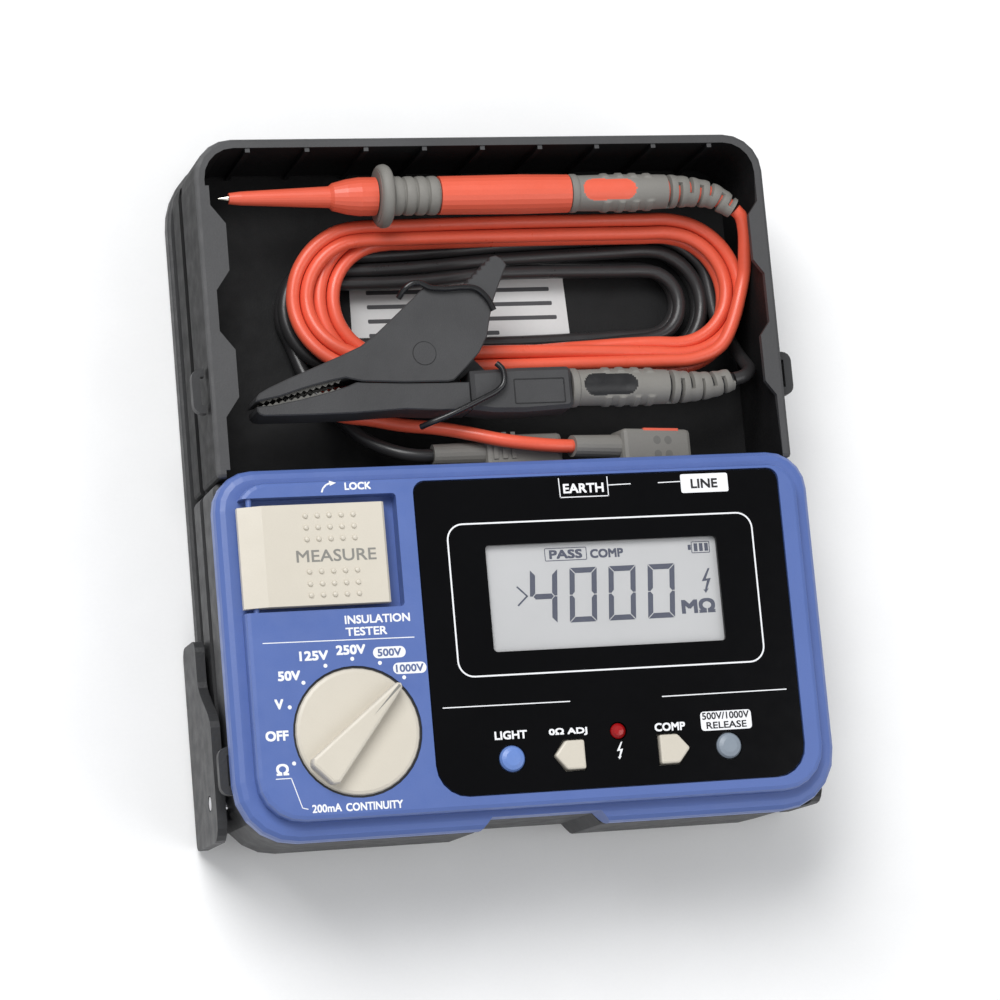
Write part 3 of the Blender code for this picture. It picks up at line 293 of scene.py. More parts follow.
NODE_LOOKS = {
    "case_plastic": ["lower_case", "battery_cover", "rotary_switch", "strap_loop_upper_left",
                     "strap_loop_upper_right", "strap_loop_lower_left", "strap_loop_lower_right"],
    "tray_plastic": ["lead_tray"],
    "cover_plastic": ["cover", "hinge_arm_left", "hinge_arm_right"],
    "blue_plastic": ["front_case", "measure_key_pin"],
    "gloss_black": ["front_panel"],
    "ivory": ["selector_knob", "measure_key", "zero_adjust_button", "comparator_button",
              "measure_switch"],
    "blue_button": ["light_button"],
    "grey_button": ["release_button"],
    "red_lens": ["warning_led"],
    "display": ["display_module"],
    "glass": ["display_window"],
    "board": ["main_board"],
    "steel": ["selector_shaft", "battery_cover_screw", "case_screw_1", "case_screw_2",
              "case_screw_3", "case_screw_4", "groove_pin_left", "groove_pin_right"],
    "tape": ["step_up_transformer"],
    "cell": ["battery_1", "battery_2", "battery_3", "battery_4"],
    "clip_gloss": ["earth_terminal", "clip_pivot_pin"],
    "red": ["line_terminal", "probe_body"],
    "nickel": ["probe_tip"],
}


def dress_nodes():
    """Finishes on the solids. The tray's inside and outer sides take darker copies of its rim's finish:
    painted shade.
    """
    for look, names in NODE_LOOKS.items():
        for name in names:
            materials = NODES[name].data.materials
            materials.clear()
            materials.append(LOOKS[look])
    tray = NODES["lead_tray"].data
    for look in ("tray_inside", "tray_side_painted_shade"):
        tray.materials.append(LOOKS[look])
    # Faces below the rim's underside get painted shade: the hollow's walls and floor take the inside copy,
    # the rest the side copy.
    for face in tray.polygons:
        middle = NODES["lead_tray"].matrix_world @ face.center
        if middle.z < TRAY_RIM * MM:
            within = abs(middle.x) < TRAY_INNER[0] * MM and middle.y < TRAY_INNER[1] * MM
            face.material_index = 1 if within and middle.z > TRAY_BOTTOM * MM else 2


# ---------------------------------------------------------------- shape helpers


def point(x, y, z):
    return Vector((x * MM, y * MM, z * MM))


def piece(name, mesh, looks, body, smooth=35):
    """A finished piece of the object, riding on a body."""
    for look in [looks] if isinstance(looks, str) else looks:
        mesh.materials.append(LOOKS[look])
    made = bpy.data.objects.new(name, mesh)
    SCENE.collection.objects.link(made)
    if smooth:
        mesh.shade_smooth()
        mesh.set_sharp_from_angle(angle=math.radians(smooth))
    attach(made, body)
    return made


def mesh_from(work, name):
    bmesh.ops.recalc_face_normals(work, faces=work.faces)
    mesh = bpy.data.meshes.new(name)
    work.to_mesh(mesh)
    work.free()
    return mesh


def add_prism(work, outline, low, high, chamfer=0.0, material=0):
    """Closed prism over an outline in millimetres, its top edge chamfered inwards."""
    outline = [p for i, p in enumerate(outline) if (Vector(p) - Vector(outline[i - 1])).length > 1e-4]
    count = len(outline)
    area = sum(outline[i - 1][0] * y - x * outline[i - 1][1] for i, (x, y) in enumerate(outline))
    way_in = 1 if area > 0 else -1
    levels = [(low, 0.0), (high - chamfer, 0.0)]
    if chamfer:
        levels.append((high, chamfer))
    rings = []
    for level, inset in levels:
        ring = []
        for i, (x, y) in enumerate(outline):
            place = Vector((x, y))
            if inset:
                before = (place - Vector(outline[i - 1])).normalized()
                after = (Vector(outline[(i + 1) % count]) - place).normalized()
                mean = (before + after).normalized()
                spread = max(0.45, mean.dot(after))
                place = place + Vector((-mean.y, mean.x)) * way_in * inset / spread
            ring.append(work.verts.new(point(place.x, place.y, level)))
        rings.append(ring)
    faces = [work.faces.new(rings[0][::-1]), work.faces.new(rings[-1])]
    for lower, upper in zip(rings, rings[1:]):
        for i in range(count):
            j = (i + 1) % count
            faces.append(work.faces.new((lower[i], lower[j], upper[j], upper[i])))
    for face in faces:
        face.material_index = material
    return faces


def add_box(work, low, high, material=0):
    add_prism(
        work,
        [(low[0], low[1]), (high[0], low[1]), (high[0], high[1]), (low[0], high[1])],
        low[2],
        high[2],
        material=material,
    )


def rounded(left, right, low, high, radius, steps=5):
    quarters = [
        (right - radius, high - radius, 0),
        (left + radius, high - radius, 90),
        (left + radius, low + radius, 180),
        (right - radius, low + radius, 270),
    ]
    return [
        (
            x + radius * math.cos(math.radians(start + 90 * i / steps)),
            y + radius * math.sin(math.radians(start + 90 * i / steps)),
        )
        for x, y, start in quarters
        for i in range(steps + 1)
    ]


def add_frame(work, outline, width, low, high):
    """A closed band of that width inside an outline."""
    count = len(outline)
    inner = []
    for i, (x, y) in enumerate(outline):
        ahead = Vector(outline[(i + 1) % count]) - Vector(outline[i - 1])
        normal = Vector((-ahead.y, ahead.x)).normalized()
        inner.append((x + normal.x * width, y + normal.y * width))
    rings = [
        [work.verts.new(point(x, y, level)) for x, y in ring]
        for ring, level in ((outline, low), (outline, high), (inner, high), (inner, low))
    ]
    for k in range(4):
        a, b = rings[k], rings[(k + 1) % 4]
        for i in range(count):
            j = (i + 1) % count
            work.faces.new((a[i], a[j], b[j], b[i]))


def add_line(work, start, end, width, low, high):
    start, end = Vector(start), Vector(end)
    side = (end - start).normalized()
    side = Vector((-side.y, side.x)) * width / 2
    around = (start - side, end - side, end + side, start + side)
    add_prism(work, [tuple(place) for place in around], low, high)


def revolved(name, profile, axis_y, axis_z, steps=40, materials=None):
    """Mesh turned about a line along X: profile is (x, radius) from end to end."""
    work = bmesh.new()
    rings = []
    for x, radius in profile:
        rings.append(
            [
                work.verts.new(
                    point(
                        x,
                        axis_y + radius * math.cos(2 * math.pi * i / steps),
                        axis_z + radius * math.sin(2 * math.pi * i / steps),
                    )
                )
                for i in range(steps)
            ]
        )
    for k, (a, b) in enumerate(zip(rings, rings[1:])):
        for i in range(steps):
            j = (i + 1) % steps
            face = work.faces.new((a[i], a[j], b[j], b[i]))
            face.material_index = materials[k] if materials else 0
    work.faces.new(rings[0])
    work.faces.new(rings[-1])
    return mesh_from(work, name)


def spline_points(places, spacing):
    """Points at about that spacing on a smooth curve through the places."""
    places = [Vector(p) for p in places]
    ends = [2 * places[0] - places[1], *places, 2 * places[-1] - places[-2]]
    fine = []
    for a, b, c, d in zip(ends, ends[1:], ends[2:], ends[3:]):
        steps = max(2, int((c - b).length / 0.4))
        t1 = (b - a).length ** 0.5
        t2 = t1 + (c - b).length ** 0.5
        t3 = t2 + (d - c).length ** 0.5
        for i in range(steps):
            t = t1 + (t2 - t1) * i / steps
            p = (t1 - t) / t1 * a + t / t1 * b
            q = (t2 - t) / (t2 - t1) * b + (t - t1) / (t2 - t1) * c
            r = (t3 - t) / (t3 - t2) * c + (t - t2) / (t3 - t2) * d
            u = (t2 - t) / t2 * p + t / t2 * q
            v = (t3 - t) / (t3 - t1) * q + (t - t1) / (t3 - t1) * r
            fine.append((t2 - t) / (t2 - t1) * u + (t - t1) / (t2 - t1) * v)
    fine.append(places[-1])
    kept, run = [fine[0]], 0.0
    for before, here in zip(fine, fine[1:]):
        run += (here - before).length
        if run >= spacing:
            kept.append(here)
            run = 0.0
    if (kept[-1] - fine[-1]).length < spacing * 0.5:
        kept[-1] = fine[-1]
    else:
        kept.append(fine[-1])
    return kept


def curve_tube(name, places, radius, look, spacing=2.0, resolution=5):
    curve = bpy.data.curves.new(name, "CURVE")
    curve.dimensions = "3D"
    curve.bevel_depth = radius * MM
    curve.bevel_resolution = resolution
    curve.use_fill_caps = True
    route = spline_points(places, spacing)
    spline = curve.splines.new("POLY")
    spline.points.add(len(route) - 1)
    for target, place in zip(spline.points, route):
        target.co = (*(place * MM), 1)
    spline.use_smooth = True
    curve.materials.append(LOOKS[look])
    made = bpy.data.objects.new(name, curve)
    SCENE.collection.objects.link(made)
    return made, route


# ---------------------------------------------------------------- printing


def add_text(work, text, x, y, width, tall, level, bold=0.05, height=INK):
    """Capitals fitted to a width and height about a point, as thin solids lying on a surface."""
    curve = bpy.data.curves.new("letters", "FONT")
    curve.body = text
    curve.extrude = height * MM / 2
    curve.resolution_u = 3
    shape = bpy.data.objects.new("letters", curve)
    SCENE.collection.objects.link(shape)
    bpy.context.view_layer.update()
    mesh = bpy.data.meshes.new_from_object(shape.evaluated_get(bpy.context.evaluated_depsgraph_get()))
    across = [vertex.co.x for vertex in mesh.vertices]
    along = [vertex.co.y for vertex in mesh.vertices]
    wide, high = max(across) - min(across), max(along) - min(along)
    middle = Vector(((max(across) + min(across)) / 2, (max(along) + min(along)) / 2, 0))
    scale = Matrix.Diagonal(((width - 2 * bold) * MM / wide, (tall - 2 * bold) * MM / high, 1, 1))
    centred = scale @ Matrix.Translation(-middle)
    mesh.transform(Matrix.Translation(point(x, y, level + height / 2)) @ centred)
    for i, (u, v) in enumerate(((-1, -1), (1, -1), (1, 1), (-1, 1), (0, 0))):
        shift = Matrix.Translation(point(u * bold, v * bold, (i + 1) * 0.0015))
        mesh.transform(shift)
        work.from_mesh(mesh)
        mesh.transform(shift.inverted())
    bpy.data.meshes.remove(mesh)
    bpy.data.objects.remove(shape)
    bpy.data.curves.remove(curve)


def add_disc(work, x, y, radius, low, high, steps=20):
    add_prism(
        work,
        [
            (x + radius * math.cos(2 * math.pi * i / steps), y + radius * math.sin(2 * math.pi * i / steps))
            for i in range(steps)
        ],
        low,
        high,
    )


def add_bolt(work, x, y, height, low, high):
    """Lightning mark for a live circuit."""
    shape = [(0.10, 0.5), (-0.20, -0.02), (0.02, 0.0), (-0.10, -0.36), (-0.17, -0.34), (-0.07, -0.5),
             (0.07, -0.30), (0.0, -0.33), (0.19, 0.10), (-0.02, 0.08), (0.18, 0.5)]
    add_prism(work, [(x + a * height, y + b * height) for a, b in shape], low, high)


def print_front():
    """Markings on the blue face: the dial scale and the key's lock arrow; also painted shade as a dark ring
    in the gap round the knob and a dark wedge along the knob's pointer.
    """
    low, high = FACE_TOP, FACE_TOP + INK
    dots = 17.8
    work = bmesh.new()
    for angle in (202.5, 157.5, 135, 112.5, 90, 67.5, 45):
        turn = math.radians(angle)
        x, y = KNOB[0] + dots * math.cos(turn), KNOB[1] + dots * math.sin(turn)
        add_disc(work, x, y, 0.5, low, high, 14)
    for text, x, y, width, tall in (
        ("250V", -47.2, -46.3, 7.4, 2.4),
        ("125V", -56.5, -47.3, 7.2, 2.4),
        ("50V", -63.0, -51.9, 5.6, 2.4),
        ("V", -66.0, -58.7, 2.2, 2.5),
        ("OFF", -67.1, -66.3, 5.7, 2.5),
        ("Ω", -66.4, -74.5, 3.1, 2.8),
    ):
        add_text(work, text, x, y, width, tall, low, bold=0.12)
    add_text(work, "200mA", -56.2, -84.4, 7.3, 2.0, low, bold=0.06)
    add_text(work, "CONTINUITY", -44.4, -84.5, 14.2, 2.0, low, bold=0.07)
    add_text(work, "INSULATION", -39.9, -38.95, 16.4, 2.1, low, bold=0.07)
    add_text(work, "TESTER", -42.9, -41.9, 10.4, 2.1, low, bold=0.07)
    for x, y, wide in ((-37.6, -47.4, 4.1), (-32.8, -51.5, 4.2)):
        add_prism(work, rounded(x - wide, x + wide, y - 1.4, y + 1.4, 1.35, 6), low, high)
    for start, end in (
        ((-68.2, -76.7), (-64.4, -76.7)),
        ((-64.4, -76.7), (-62.2, -84.0)),
        ((-62.2, -84.0), (-60.8, -84.4)),
        ((-68.9, -43.7), (-31.0, -44.0)),
    ):
        add_line(work, start, end, 0.22, low, high)
    add_text(work, "LOCK", -42.1, -5.9, 6.7, 1.9, low, bold=0.08)
    bend = [(-51.3, -7.2), (-50.9, -6.2), (-50.1, -5.4), (-49.2, -5.0)]
    for start, end in zip(bend, bend[1:]):
        add_line(work, start, end, 0.42, low, high)
    add_prism(work, [(-49.3, -4.35), (-47.5, -4.95), (-49.1, -5.65)], low, high)
    piece("dial_markings", mesh_from(work, "dial_markings"), "white_ink", "base", smooth=0)
    work = bmesh.new()
    for text, x, y, width in (("500V", -37.6, -47.4, 6.0), ("1000V", -32.8, -51.5, 7.0)):
        add_text(work, text, x, y, width, 1.9, high, bold=0.07)
    piece("dial_range_numbers", mesh_from(work, "dial_range_numbers"), "dial_ink", "base", smooth=0)
    # A dark ring in the gap round the knob: painted shade.
    work = bmesh.new()
    add_frame(work, circle(KNOB[0], KNOB[1], 16.05), 0.6, 49.12, 49.9)
    piece("knob_gap_painted_shade", mesh_from(work, "knob_gap_painted_shade"), "dark_ink", "base", smooth=0)
    # A dark wedge along the pointer's top: painted shade for its groove.
    work = bmesh.new()
    groove = [(4.6, 0.0), (14.6, -0.34), (14.6, 0.34)]
    groove_shade_top = top_of("selector_knob") + INK
    lean = math.sqrt(0.5)
    add_prism(
        work,
        [(KNOB[0] + (u - v) * lean, KNOB[1] + (u + v) * lean) for u, v in groove],
        groove_shade_top - 0.08,
        groove_shade_top,
    )
    piece("knob_groove_painted_shade", mesh_from(work, "knob_groove_painted_shade"), "key_ink", "selector", smooth=0)


def circle(x, y, radius, steps=72):
    angles = [2 * math.pi * i / steps for i in range(steps)]
    return [(x + radius * math.cos(a), y + radius * math.sin(a)) for a in angles]


def print_panel():
    """Markings on the gloss panel: terminals, display frame and button names."""
    low, high = PANEL_TOP, PANEL_TOP + INK
    work = bmesh.new()
    add_frame(work, rounded(-20.6, 59.5, -54.7, -16.3, 4.2, 8), 0.4, low, high)
    add_line(work, (-25.3, -61.8), (7.3, -61.9), 0.26, low, high)
    add_line(work, (31.2, -62.0), (64.2, -61.9), 0.26, low, high)
    for text, x, y, width, tall in (
        ("EARTH", 15.8, -8.6, 10.6, 2.4),
        ("LIGHT", -8.65, -69.35, 8.3, 2.1),
        ("0Ω ADJ", 6.05, -69.4, 9.9, 2.1),
        ("COMP", 32.5, -69.6, 8.0, 2.1),
    ):
        add_text(work, text, x, y, width, tall, low, bold=0.09)
    for start, end in (
        ((9.5, -5.9), (9.6, -10.9)),
        ((9.5, -10.8), (22.3, -10.8)),
        ((22.2, -5.9), (22.2, -10.9)),
        ((22.3, -8.1), (28.3, -8.0)),
        ((35.5, -8.0), (41.6, -7.9)),
    ):
        add_line(work, start, end, 0.24, low, high)
    add_prism(work, rounded(41.5, 54.1, -10.9, -6.1, 0.5, 3), low, high)
    add_prism(work, rounded(40.7, 54.1, -71.2, -66.4, 0.9, 4), low, high)
    add_bolt(work, 19.0, -74.8, 4.3, low, high)
    piece("panel_markings", mesh_from(work, "panel_markings"), "white_ink", "base", smooth=0)
    work = bmesh.new()
    add_text(work, "LINE", 47.7, -8.6, 7.1, 2.4, high, bold=0.1)
    add_text(work, "500V/1000V", 47.35, -67.55, 12.4, 1.8, high, bold=0.05)
    add_text(work, "RELEASE", 47.4, -69.9, 10.6, 1.75, high, bold=0.05)
    piece("panel_dark_markings", mesh_from(work, "panel_dark_markings"), "dark_ink", "base", smooth=0)


def print_key():
    work = bmesh.new()
    add_text(work, "MEASURE", -49.15, -23.05, 20.0, 3.0, KEY_TOP, bold=0.05)
    piece("key_marking", mesh_from(work, "key_marking"), "key_ink", "measure_key", smooth=0)


def add_digit(work, value, x, y, width, height, stroke, low, high):
    """A seven-segment figure that leans a little, its lower left corner at x, y."""
    lean = 0.084
    on = {"4": "bcfg", "0": "abcdef"}[value]
    s, half = stroke, height / 2
    gap = 0.16
    bars = {
        "a": [(gap, height), (width - gap, height), (width - s - gap, height - s), (s + gap, height - s)],
        "d": [(gap, 0), (s + gap, s), (width - s - gap, s), (width - gap, 0)],
        "b": [(width, height - gap), (width, half + gap), (width - s / 2, half + gap * 0.4),
              (width - s, half + s / 2 + gap), (width - s, height - s - gap)],
        "c": [(width, half - gap), (width, gap), (width - s, s + gap), (width - s, half - s / 2 - gap),
              (width - s / 2, half - gap * 0.4)],
        "e": [(0, half - gap), (s / 2, half - gap * 0.4), (s, half - s / 2 - gap), (s, s + gap), (0, gap)],
        "f": [(0, height - gap), (s, height - s - gap), (s, half + s / 2 + gap),
              (s / 2, half + gap * 0.4), (0, half + gap)],
        "g": [(s * 0.55 + gap, half), (s + gap, half + s / 2), (width - s - gap, half + s / 2),
              (width - s * 0.55 - gap, half), (width - s - gap, half - s / 2), (s + gap, half - s / 2)],
    }
    for segment in on:
        add_prism(work, [(x + a + b * lean, y + b) for a, b in bars[segment]], low, high)


def print_display():
    low, high = DISPLAY_TOP, DISPLAY_TOP + SEGMENT_INK
    work = bmesh.new()
    for value, x in zip("4000", (-0.7, 9.6, 19.8, 30.1)):
        add_digit(work, value, x, -42.1, 7.1, 13.7, 1.35, low, high)
    add_line(work, (-3.3, -32.5), (-0.75, -35.05), 0.42, low, high)
    add_line(work, (-0.75, -34.9), (-3.4, -37.3), 0.42, low, high)
    add_text(work, "MΩ", 43.6, -39.45, 8.9, 3.7, low, bold=0.22)
    add_bolt(work, 46.4, -33.2, 6.3, low, high)
    add_frame(work, rounded(4.6, 15.6, -26.5, -23.2, 0.3, 2), 0.2, low, high)
    add_text(work, "PASS", 10.1, -24.85, 8.6, 2.3, low, bold=0.13)
    add_text(work, "COMP", 20.8, -25.05, 8.7, 2.3, low, bold=0.12)
    add_frame(work, rounded(43.2, 48.1, -26.1, -23.1, 0.2, 2), 0.2, low, high)
    add_box(work, (42.3, -25.2, low), (43.1, -23.9, high))
    for x in (43.9, 45.3, 46.7):
        add_box(work, (x, -25.6, low), (x + 0.95, -23.6, high))
    piece("display_segments", mesh_from(work, "display_segments"), "segment", "base", smooth=0)


def make_tray_label():
    """Sticker on the tray floor, with plain bars where its printing goes."""
    work = bmesh.new()
    outline = [(-31.3, 52.8), (-31.6, 36.1), (27.2, 37.0), (26.4, 56.6)]
    paper = TRAY_FLOOR + 0.08
    add_prism(work, outline[::-1], TRAY_FLOOR, paper)
    piece("tray_label", mesh_from(work, "tray_label"), "label", "base", smooth=0)
    work = bmesh.new()
    left = -27.0
    for y, right in ((51.0, 22.5), (47.2, 23.0), (43.4, 24.0), (39.6, 8.0)):
        add_prism(work, rounded(left, right, y - 0.55, y + 0.55, 0.3, 2), paper, paper + INK)
    piece("tray_label_lines", mesh_from(work, "tray_label_lines"), "label_ink", "base", smooth=0)


# ---------------------------------------------------------------- test leads


def coil_box(node):
    (left, low, _), (right, high, _) = corners(node)
    return left, right, low, high


def hank(stations, box, outward, shifts=(0, 0, 0, 0, 0)):
    """Places on loops round a long rounded outline, the coil's box of left, right, low and high.

    Each station is (turns, inset, level), and shifts moves each turn's left end to the right.
    """
    left, right, low, high = box
    full = (high - low) / 2 - CORD
    middle = (high + low) / 2
    ends = (left + full + CORD, right - full - CORD, middle, full, outward)
    places = []
    for k in range(len(stations) - 1):
        first, second = stations[k], stations[k + 1]
        before, after = stations[max(k - 1, 0)], stations[min(k + 2, len(stations) - 1)]
        width = second[0] - first[0]
        slopes = [
            width * (b[1] - a[1]) / (b[0] - a[0]) for a, b in ((before, second), (first, after))
        ]
        steps = max(2, round(width * 40))
        for i in range(steps):
            t = i / steps
            ease = t * t * (3 - 2 * t)
            bend = slopes[0] * t * (1 - t) ** 2 - slopes[1] * t * t * (1 - t)
            inset = first[1] + (second[1] - first[1]) * ease + bend
            level = first[2] + (second[2] - first[2]) * ease
            turns = first[0] + width * t
            places.append(stadium_place(turns, inset, level, shifts[int(turns)], *ends))
    places.append(stadium_place(*stations[-1], shifts[int(stations[-1][0])], *ends))
    return places


def stadium_place(turns, inset, level, shift, left, right, middle, full, outward):
    """Place on a stadium: turn 0 at the right end, 0.25 at a straight's middle, 0.5 at the left end.

    The left end's half circle is moved to the right by the shift.
    """
    radius = full - inset
    arc = math.pi * full / 2
    straight = (right - left) / 2
    quarter = arc + straight
    along = (turns % 1.0) * 4 * quarter
    side, rest = int(along // quarter) % 4, along % quarter
    if side in (1, 3):
        rest = quarter - rest
    if rest <= arc:
        angle = rest / full
        u, v = right + radius * math.cos(angle), radius * math.sin(angle)
    else:
        u, v = right - (rest - arc), radius
    if side in (1, 2):
        u = left + right - u
        u += shift * (1 - max(0.0, min(1.0, (u - left) / straight)))
    if side in (2, 3):
        v = -v
    return Vector((u, middle + v * outward, level))


def red_route():
    """From the probe's sleeve down the right side, clockwise round the hank, then back under the clip."""
    start = [
        (68.2, 65.75, 37.2), (69.6, 64.3, 37.1), (70.7, 60.5, 35.8), (71.0, 54.0, 33.4),
        (70.9, 49.5, 31.6),
    ]
    stations = [
        (0.06, -0.4, 31.2), (0.12, -0.3, 30.3), (0.18, 0.0, 28.8), (0.25, 0.2, 27.9),
        (0.42, 0.2, 27.9), (0.5, 0.2, 25.6), (0.58, 0.1, 27.9), (0.75, -0.6, 27.9),
        (0.9, -0.6, 27.9), (1.0, -0.3, 27.9), (1.12, 2.4, 27.9), (1.25, 3.8, 27.9),
        (1.42, 3.8, 27.9), (1.5, 3.7, 25.6), (1.58, 3.5, 27.9), (1.75, 3.0, 27.9),
        (1.9, 3.0, 27.9), (2.0, 3.3, 27.9), (2.12, 5.4, 26.6), (2.18, 5.2, 24.9),
        (2.25, 4.4, 24.4), (2.42, 4.0, 24.4), (2.5, 3.9, 24.4), (2.58, 3.8, 24.4),
        (2.75, 3.2, 24.4), (3.0, 3.2, 24.4), (3.12, 2.2, 24.4), (3.25, 0.8, 24.4),
        (3.42, 0.8, 24.4), (3.5, 0.7, 24.4), (3.58, 0.5, 24.4), (3.75, -0.3, 24.4),
        (4.0, -0.3, 24.4), (4.12, -1.4, 24.4), (4.22, -2.6, 24.4),
    ]
    turns = hank(stations, coil_box("red_coil"), -1, (1.1, 1.2, 8.2, 7.8, 0))
    tail = [
        (-12.0, 25.4, 24.4), (-22.0, 25.6, 24.4), (-30.0, 25.9, 24.5), (-34.5, 26.0, 25.2),
        (-38.0, 25.6, 26.2), (-41.0, 24.2, 27.1), (-42.8, 21.7, 27.8), (-42.6, 18.9, 28.1),
        (-40.6, 16.6, 28.2), (-37.2, 15.7, 28.2), (-33.0, 15.1, 28.4), (-24.0, 13.1, 29.0),
        (-15.0, 11.4, 31.6), (-8.0, 9.3, 34.4), (0.0, 6.9, 36.5), (8.0, 5.5, 37.2),
        (14.6, 4.85, 36.9), (18.6, 4.8, 36.0),
    ]
    return [*start, *turns, *tail]


def black_route():
    """From the clip's sleeve down the right side, anticlockwise round the hank, then to its plug."""
    start = [
        (63.0, 20.6, 37.5), (66.0, 21.4, 37.0), (68.8, 23.6, 34.2), (69.9, 26.8, 28.5), (70.3, 30.5, 22.9),
        (69.0, 35.0, 20.9), (66.2, 40.0, 20.6),
    ]
    stations = [
        (0.03, -1.4, 20.5), (0.12, -0.4, 20.5), (0.25, 1.2, 20.5), (0.33, 2.6, 20.5),
        (0.42, 3.0, 20.5), (0.5, 0.8, 20.5), (0.75, 0.0, 20.5), (1.0, 2.2, 20.5),
        (1.25, 4.7, 20.5), (1.33, 6.3, 20.5), (1.42, 6.6, 20.5), (1.5, 4.4, 20.5),
        (1.75, 3.5, 20.5), (2.0, 8.3, 20.5), (2.25, 8.3, 20.4), (2.33, 10.0, 20.4),
        (2.42, 10.0, 20.4), (2.5, 8.0, 20.4), (2.75, 7.0, 17.6), (3.0, 8.3, 17.0),
        (3.25, 4.7, 17.0), (3.33, 6.2, 17.0), (3.42, 6.4, 17.0), (3.5, 4.3, 17.0),
        (3.75, 3.5, 17.0), (4.0, 2.2, 17.0), (4.25, 1.1, 17.0), (4.33, 2.5, 17.0),
        (4.42, 2.8, 17.0), (4.5, 0.6, 17.0), (4.53, 0.4, 17.3),
    ]
    turns = hank(stations, coil_box("black_coil"), 1)
    tail = [
        (-44.9, 27.0, 18.9), (-39.5, 18.5, 21.5), (-33.0, 10.4, 25.5), (-25.0, 5.9, 29.0),
        (-20.0, 4.85, 29.9), (-16.6, 4.8, 30.0),
    ]
    return [*start, *turns, *tail]


def make_leads():
    red, red_line = curve_tube("red_lead", red_route(), CORD, "red_cord", CORD_SPACING)
    black, black_line = curve_tube("black_lead", black_route(), CORD, "black_cord", CORD_SPACING)
    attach(red, "base")
    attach(black, "base")
    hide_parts("red_coil", "red_cord_from_probe", "red_cord_to_plug")
    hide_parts("black_coil", "black_cord_from_clip", "black_cord_to_plug")
    return (red, red_line), (black, black_line)


def lofted_boot(name, route, radii, notches):
    """Bent sleeve with raised bands, and notches cut from alternate sides that show what is inside."""
    line = spline_points([Vector(p) for p in route], 0.22)
    lengths = [0.0]
    for before, here in zip(line, line[1:]):
        lengths.append(lengths[-1] + (here - before).length)
    work = bmesh.new()
    steps = 120
    rings = []
    for i, place in enumerate(line):
        ahead = (line[min(i + 1, len(line) - 1)] - line[max(i - 1, 0)]).normalized()
        side = Vector((-ahead.y, ahead.x, 0)).normalized()
        up = ahead.cross(side)
        if up.z < 0:
            up = -up
        s = lengths[i]
        base = profile_value(radii, s)
        ring = []
        for k in range(steps):
            angle = 2 * math.pi * k / steps
            across, height = math.cos(angle), math.sin(angle)
            radius, deep = notches(s, across, height, base)
            ring.append((work.verts.new((place + (side * across + up * height) * radius) * MM), deep))
        rings.append(ring)
    for a, b in zip(rings, rings[1:]):
        for k in range(steps):
            j = (k + 1) % steps
            around = (a[k], a[j], b[j], b[k])
            face = work.faces.new([vertex for vertex, _ in around])
            face.material_index = 1 if all(deep for _, deep in around) else 0
    for ring in (rings[0], rings[-1]):
        work.faces.new([vertex for vertex, _ in ring])
    return mesh_from(work, name)


def profile_value(pairs, s):
    for (s0, r0), (s1, r1) in zip(pairs, pairs[1:]):
        if s <= s1:
            return r0 + (r1 - r0) * max(0, s - s0) / (s1 - s0)
    return pairs[-1][1]


def boot_surface(s, across, height, base):
    """Radius of a strain relief at a place: collar, raised pill, cross bars, then notched bands."""
    radius, deep = base, False
    if s < 1.9:
        radius += 0.4 * min(1.0, (1.9 - s) / 0.3, (s + 0.1) / 0.3)
    if 2.4 < s < 17.6:
        sideways = abs(across) * base
        rounding = max(0.0, 2.6 + 2.95 - s, s - (17.4 - 2.95))
        reach = math.hypot(sideways, rounding)
        if height > 0 and reach < 3.0:
            return radius - 0.1 * min(1.0, (3.0 - reach) / 0.25), reach < 2.95
    if 8.5 < s < 23.0 and abs(across) > 0.62:
        share = ((s - 8.5) % 3.9) / 3.9
        if share < 0.5:
            edge = min(1.0, share / 0.06, (0.5 - share) / 0.06)
            radius += 0.38 * edge * min(1.0, (abs(across) - 0.62) / 0.08)
    if 26.2 < s < 45:
        beat = (s - 26.2) / 2.9
        share = beat % 1.0
        even = int(beat) % 2 == 0
        open_side = height > -0.1 if beat < 1 else (across > -0.35 if even else across < 0.35)
        if share < 0.27 and open_side:
            return base * 0.72, True
        radius += 0.15 * math.sin(math.pi * (share - 0.27) / 0.73) if share > 0.27 else 0
    return radius, deep


def make_boots():
    y, z = PROBE_AXIS
    route = [(23.2, y, z), (38, y, z), (51, 70.9, z), (57, 70.6, z), (62.5, 69.4, z), (67.6, 66.1, z)]
    radii = [(0, 4.6), (2.5, 4.6), (14, 4.75), (26, 4.4), (34, 3.7), (45, 2.7), (60, 2.6)]
    relief = piece(
        "probe_sleeve",
        lofted_boot("probe_sleeve", route, radii, boot_surface),
        ["grey_rubber", "red"],
        "base",
        30,
    )
    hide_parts("probe_strain_relief")
    z = CLIP_AXIS_LEVEL
    route = [(18.4, 19.6, z), (31, 19.5, z), (43, 19.2, z), (50, 19.0, z), (56.5, 19.3, z), (62.4, 20.5, z)]
    clip_relief = piece(
        "clip_sleeve",
        lofted_boot("clip_sleeve", route, radii, boot_surface),
        ["grey_rubber", "clip_gloss"],
        "base",
        30,
    )
    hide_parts("clip_strain_relief")
    return relief, clip_relief


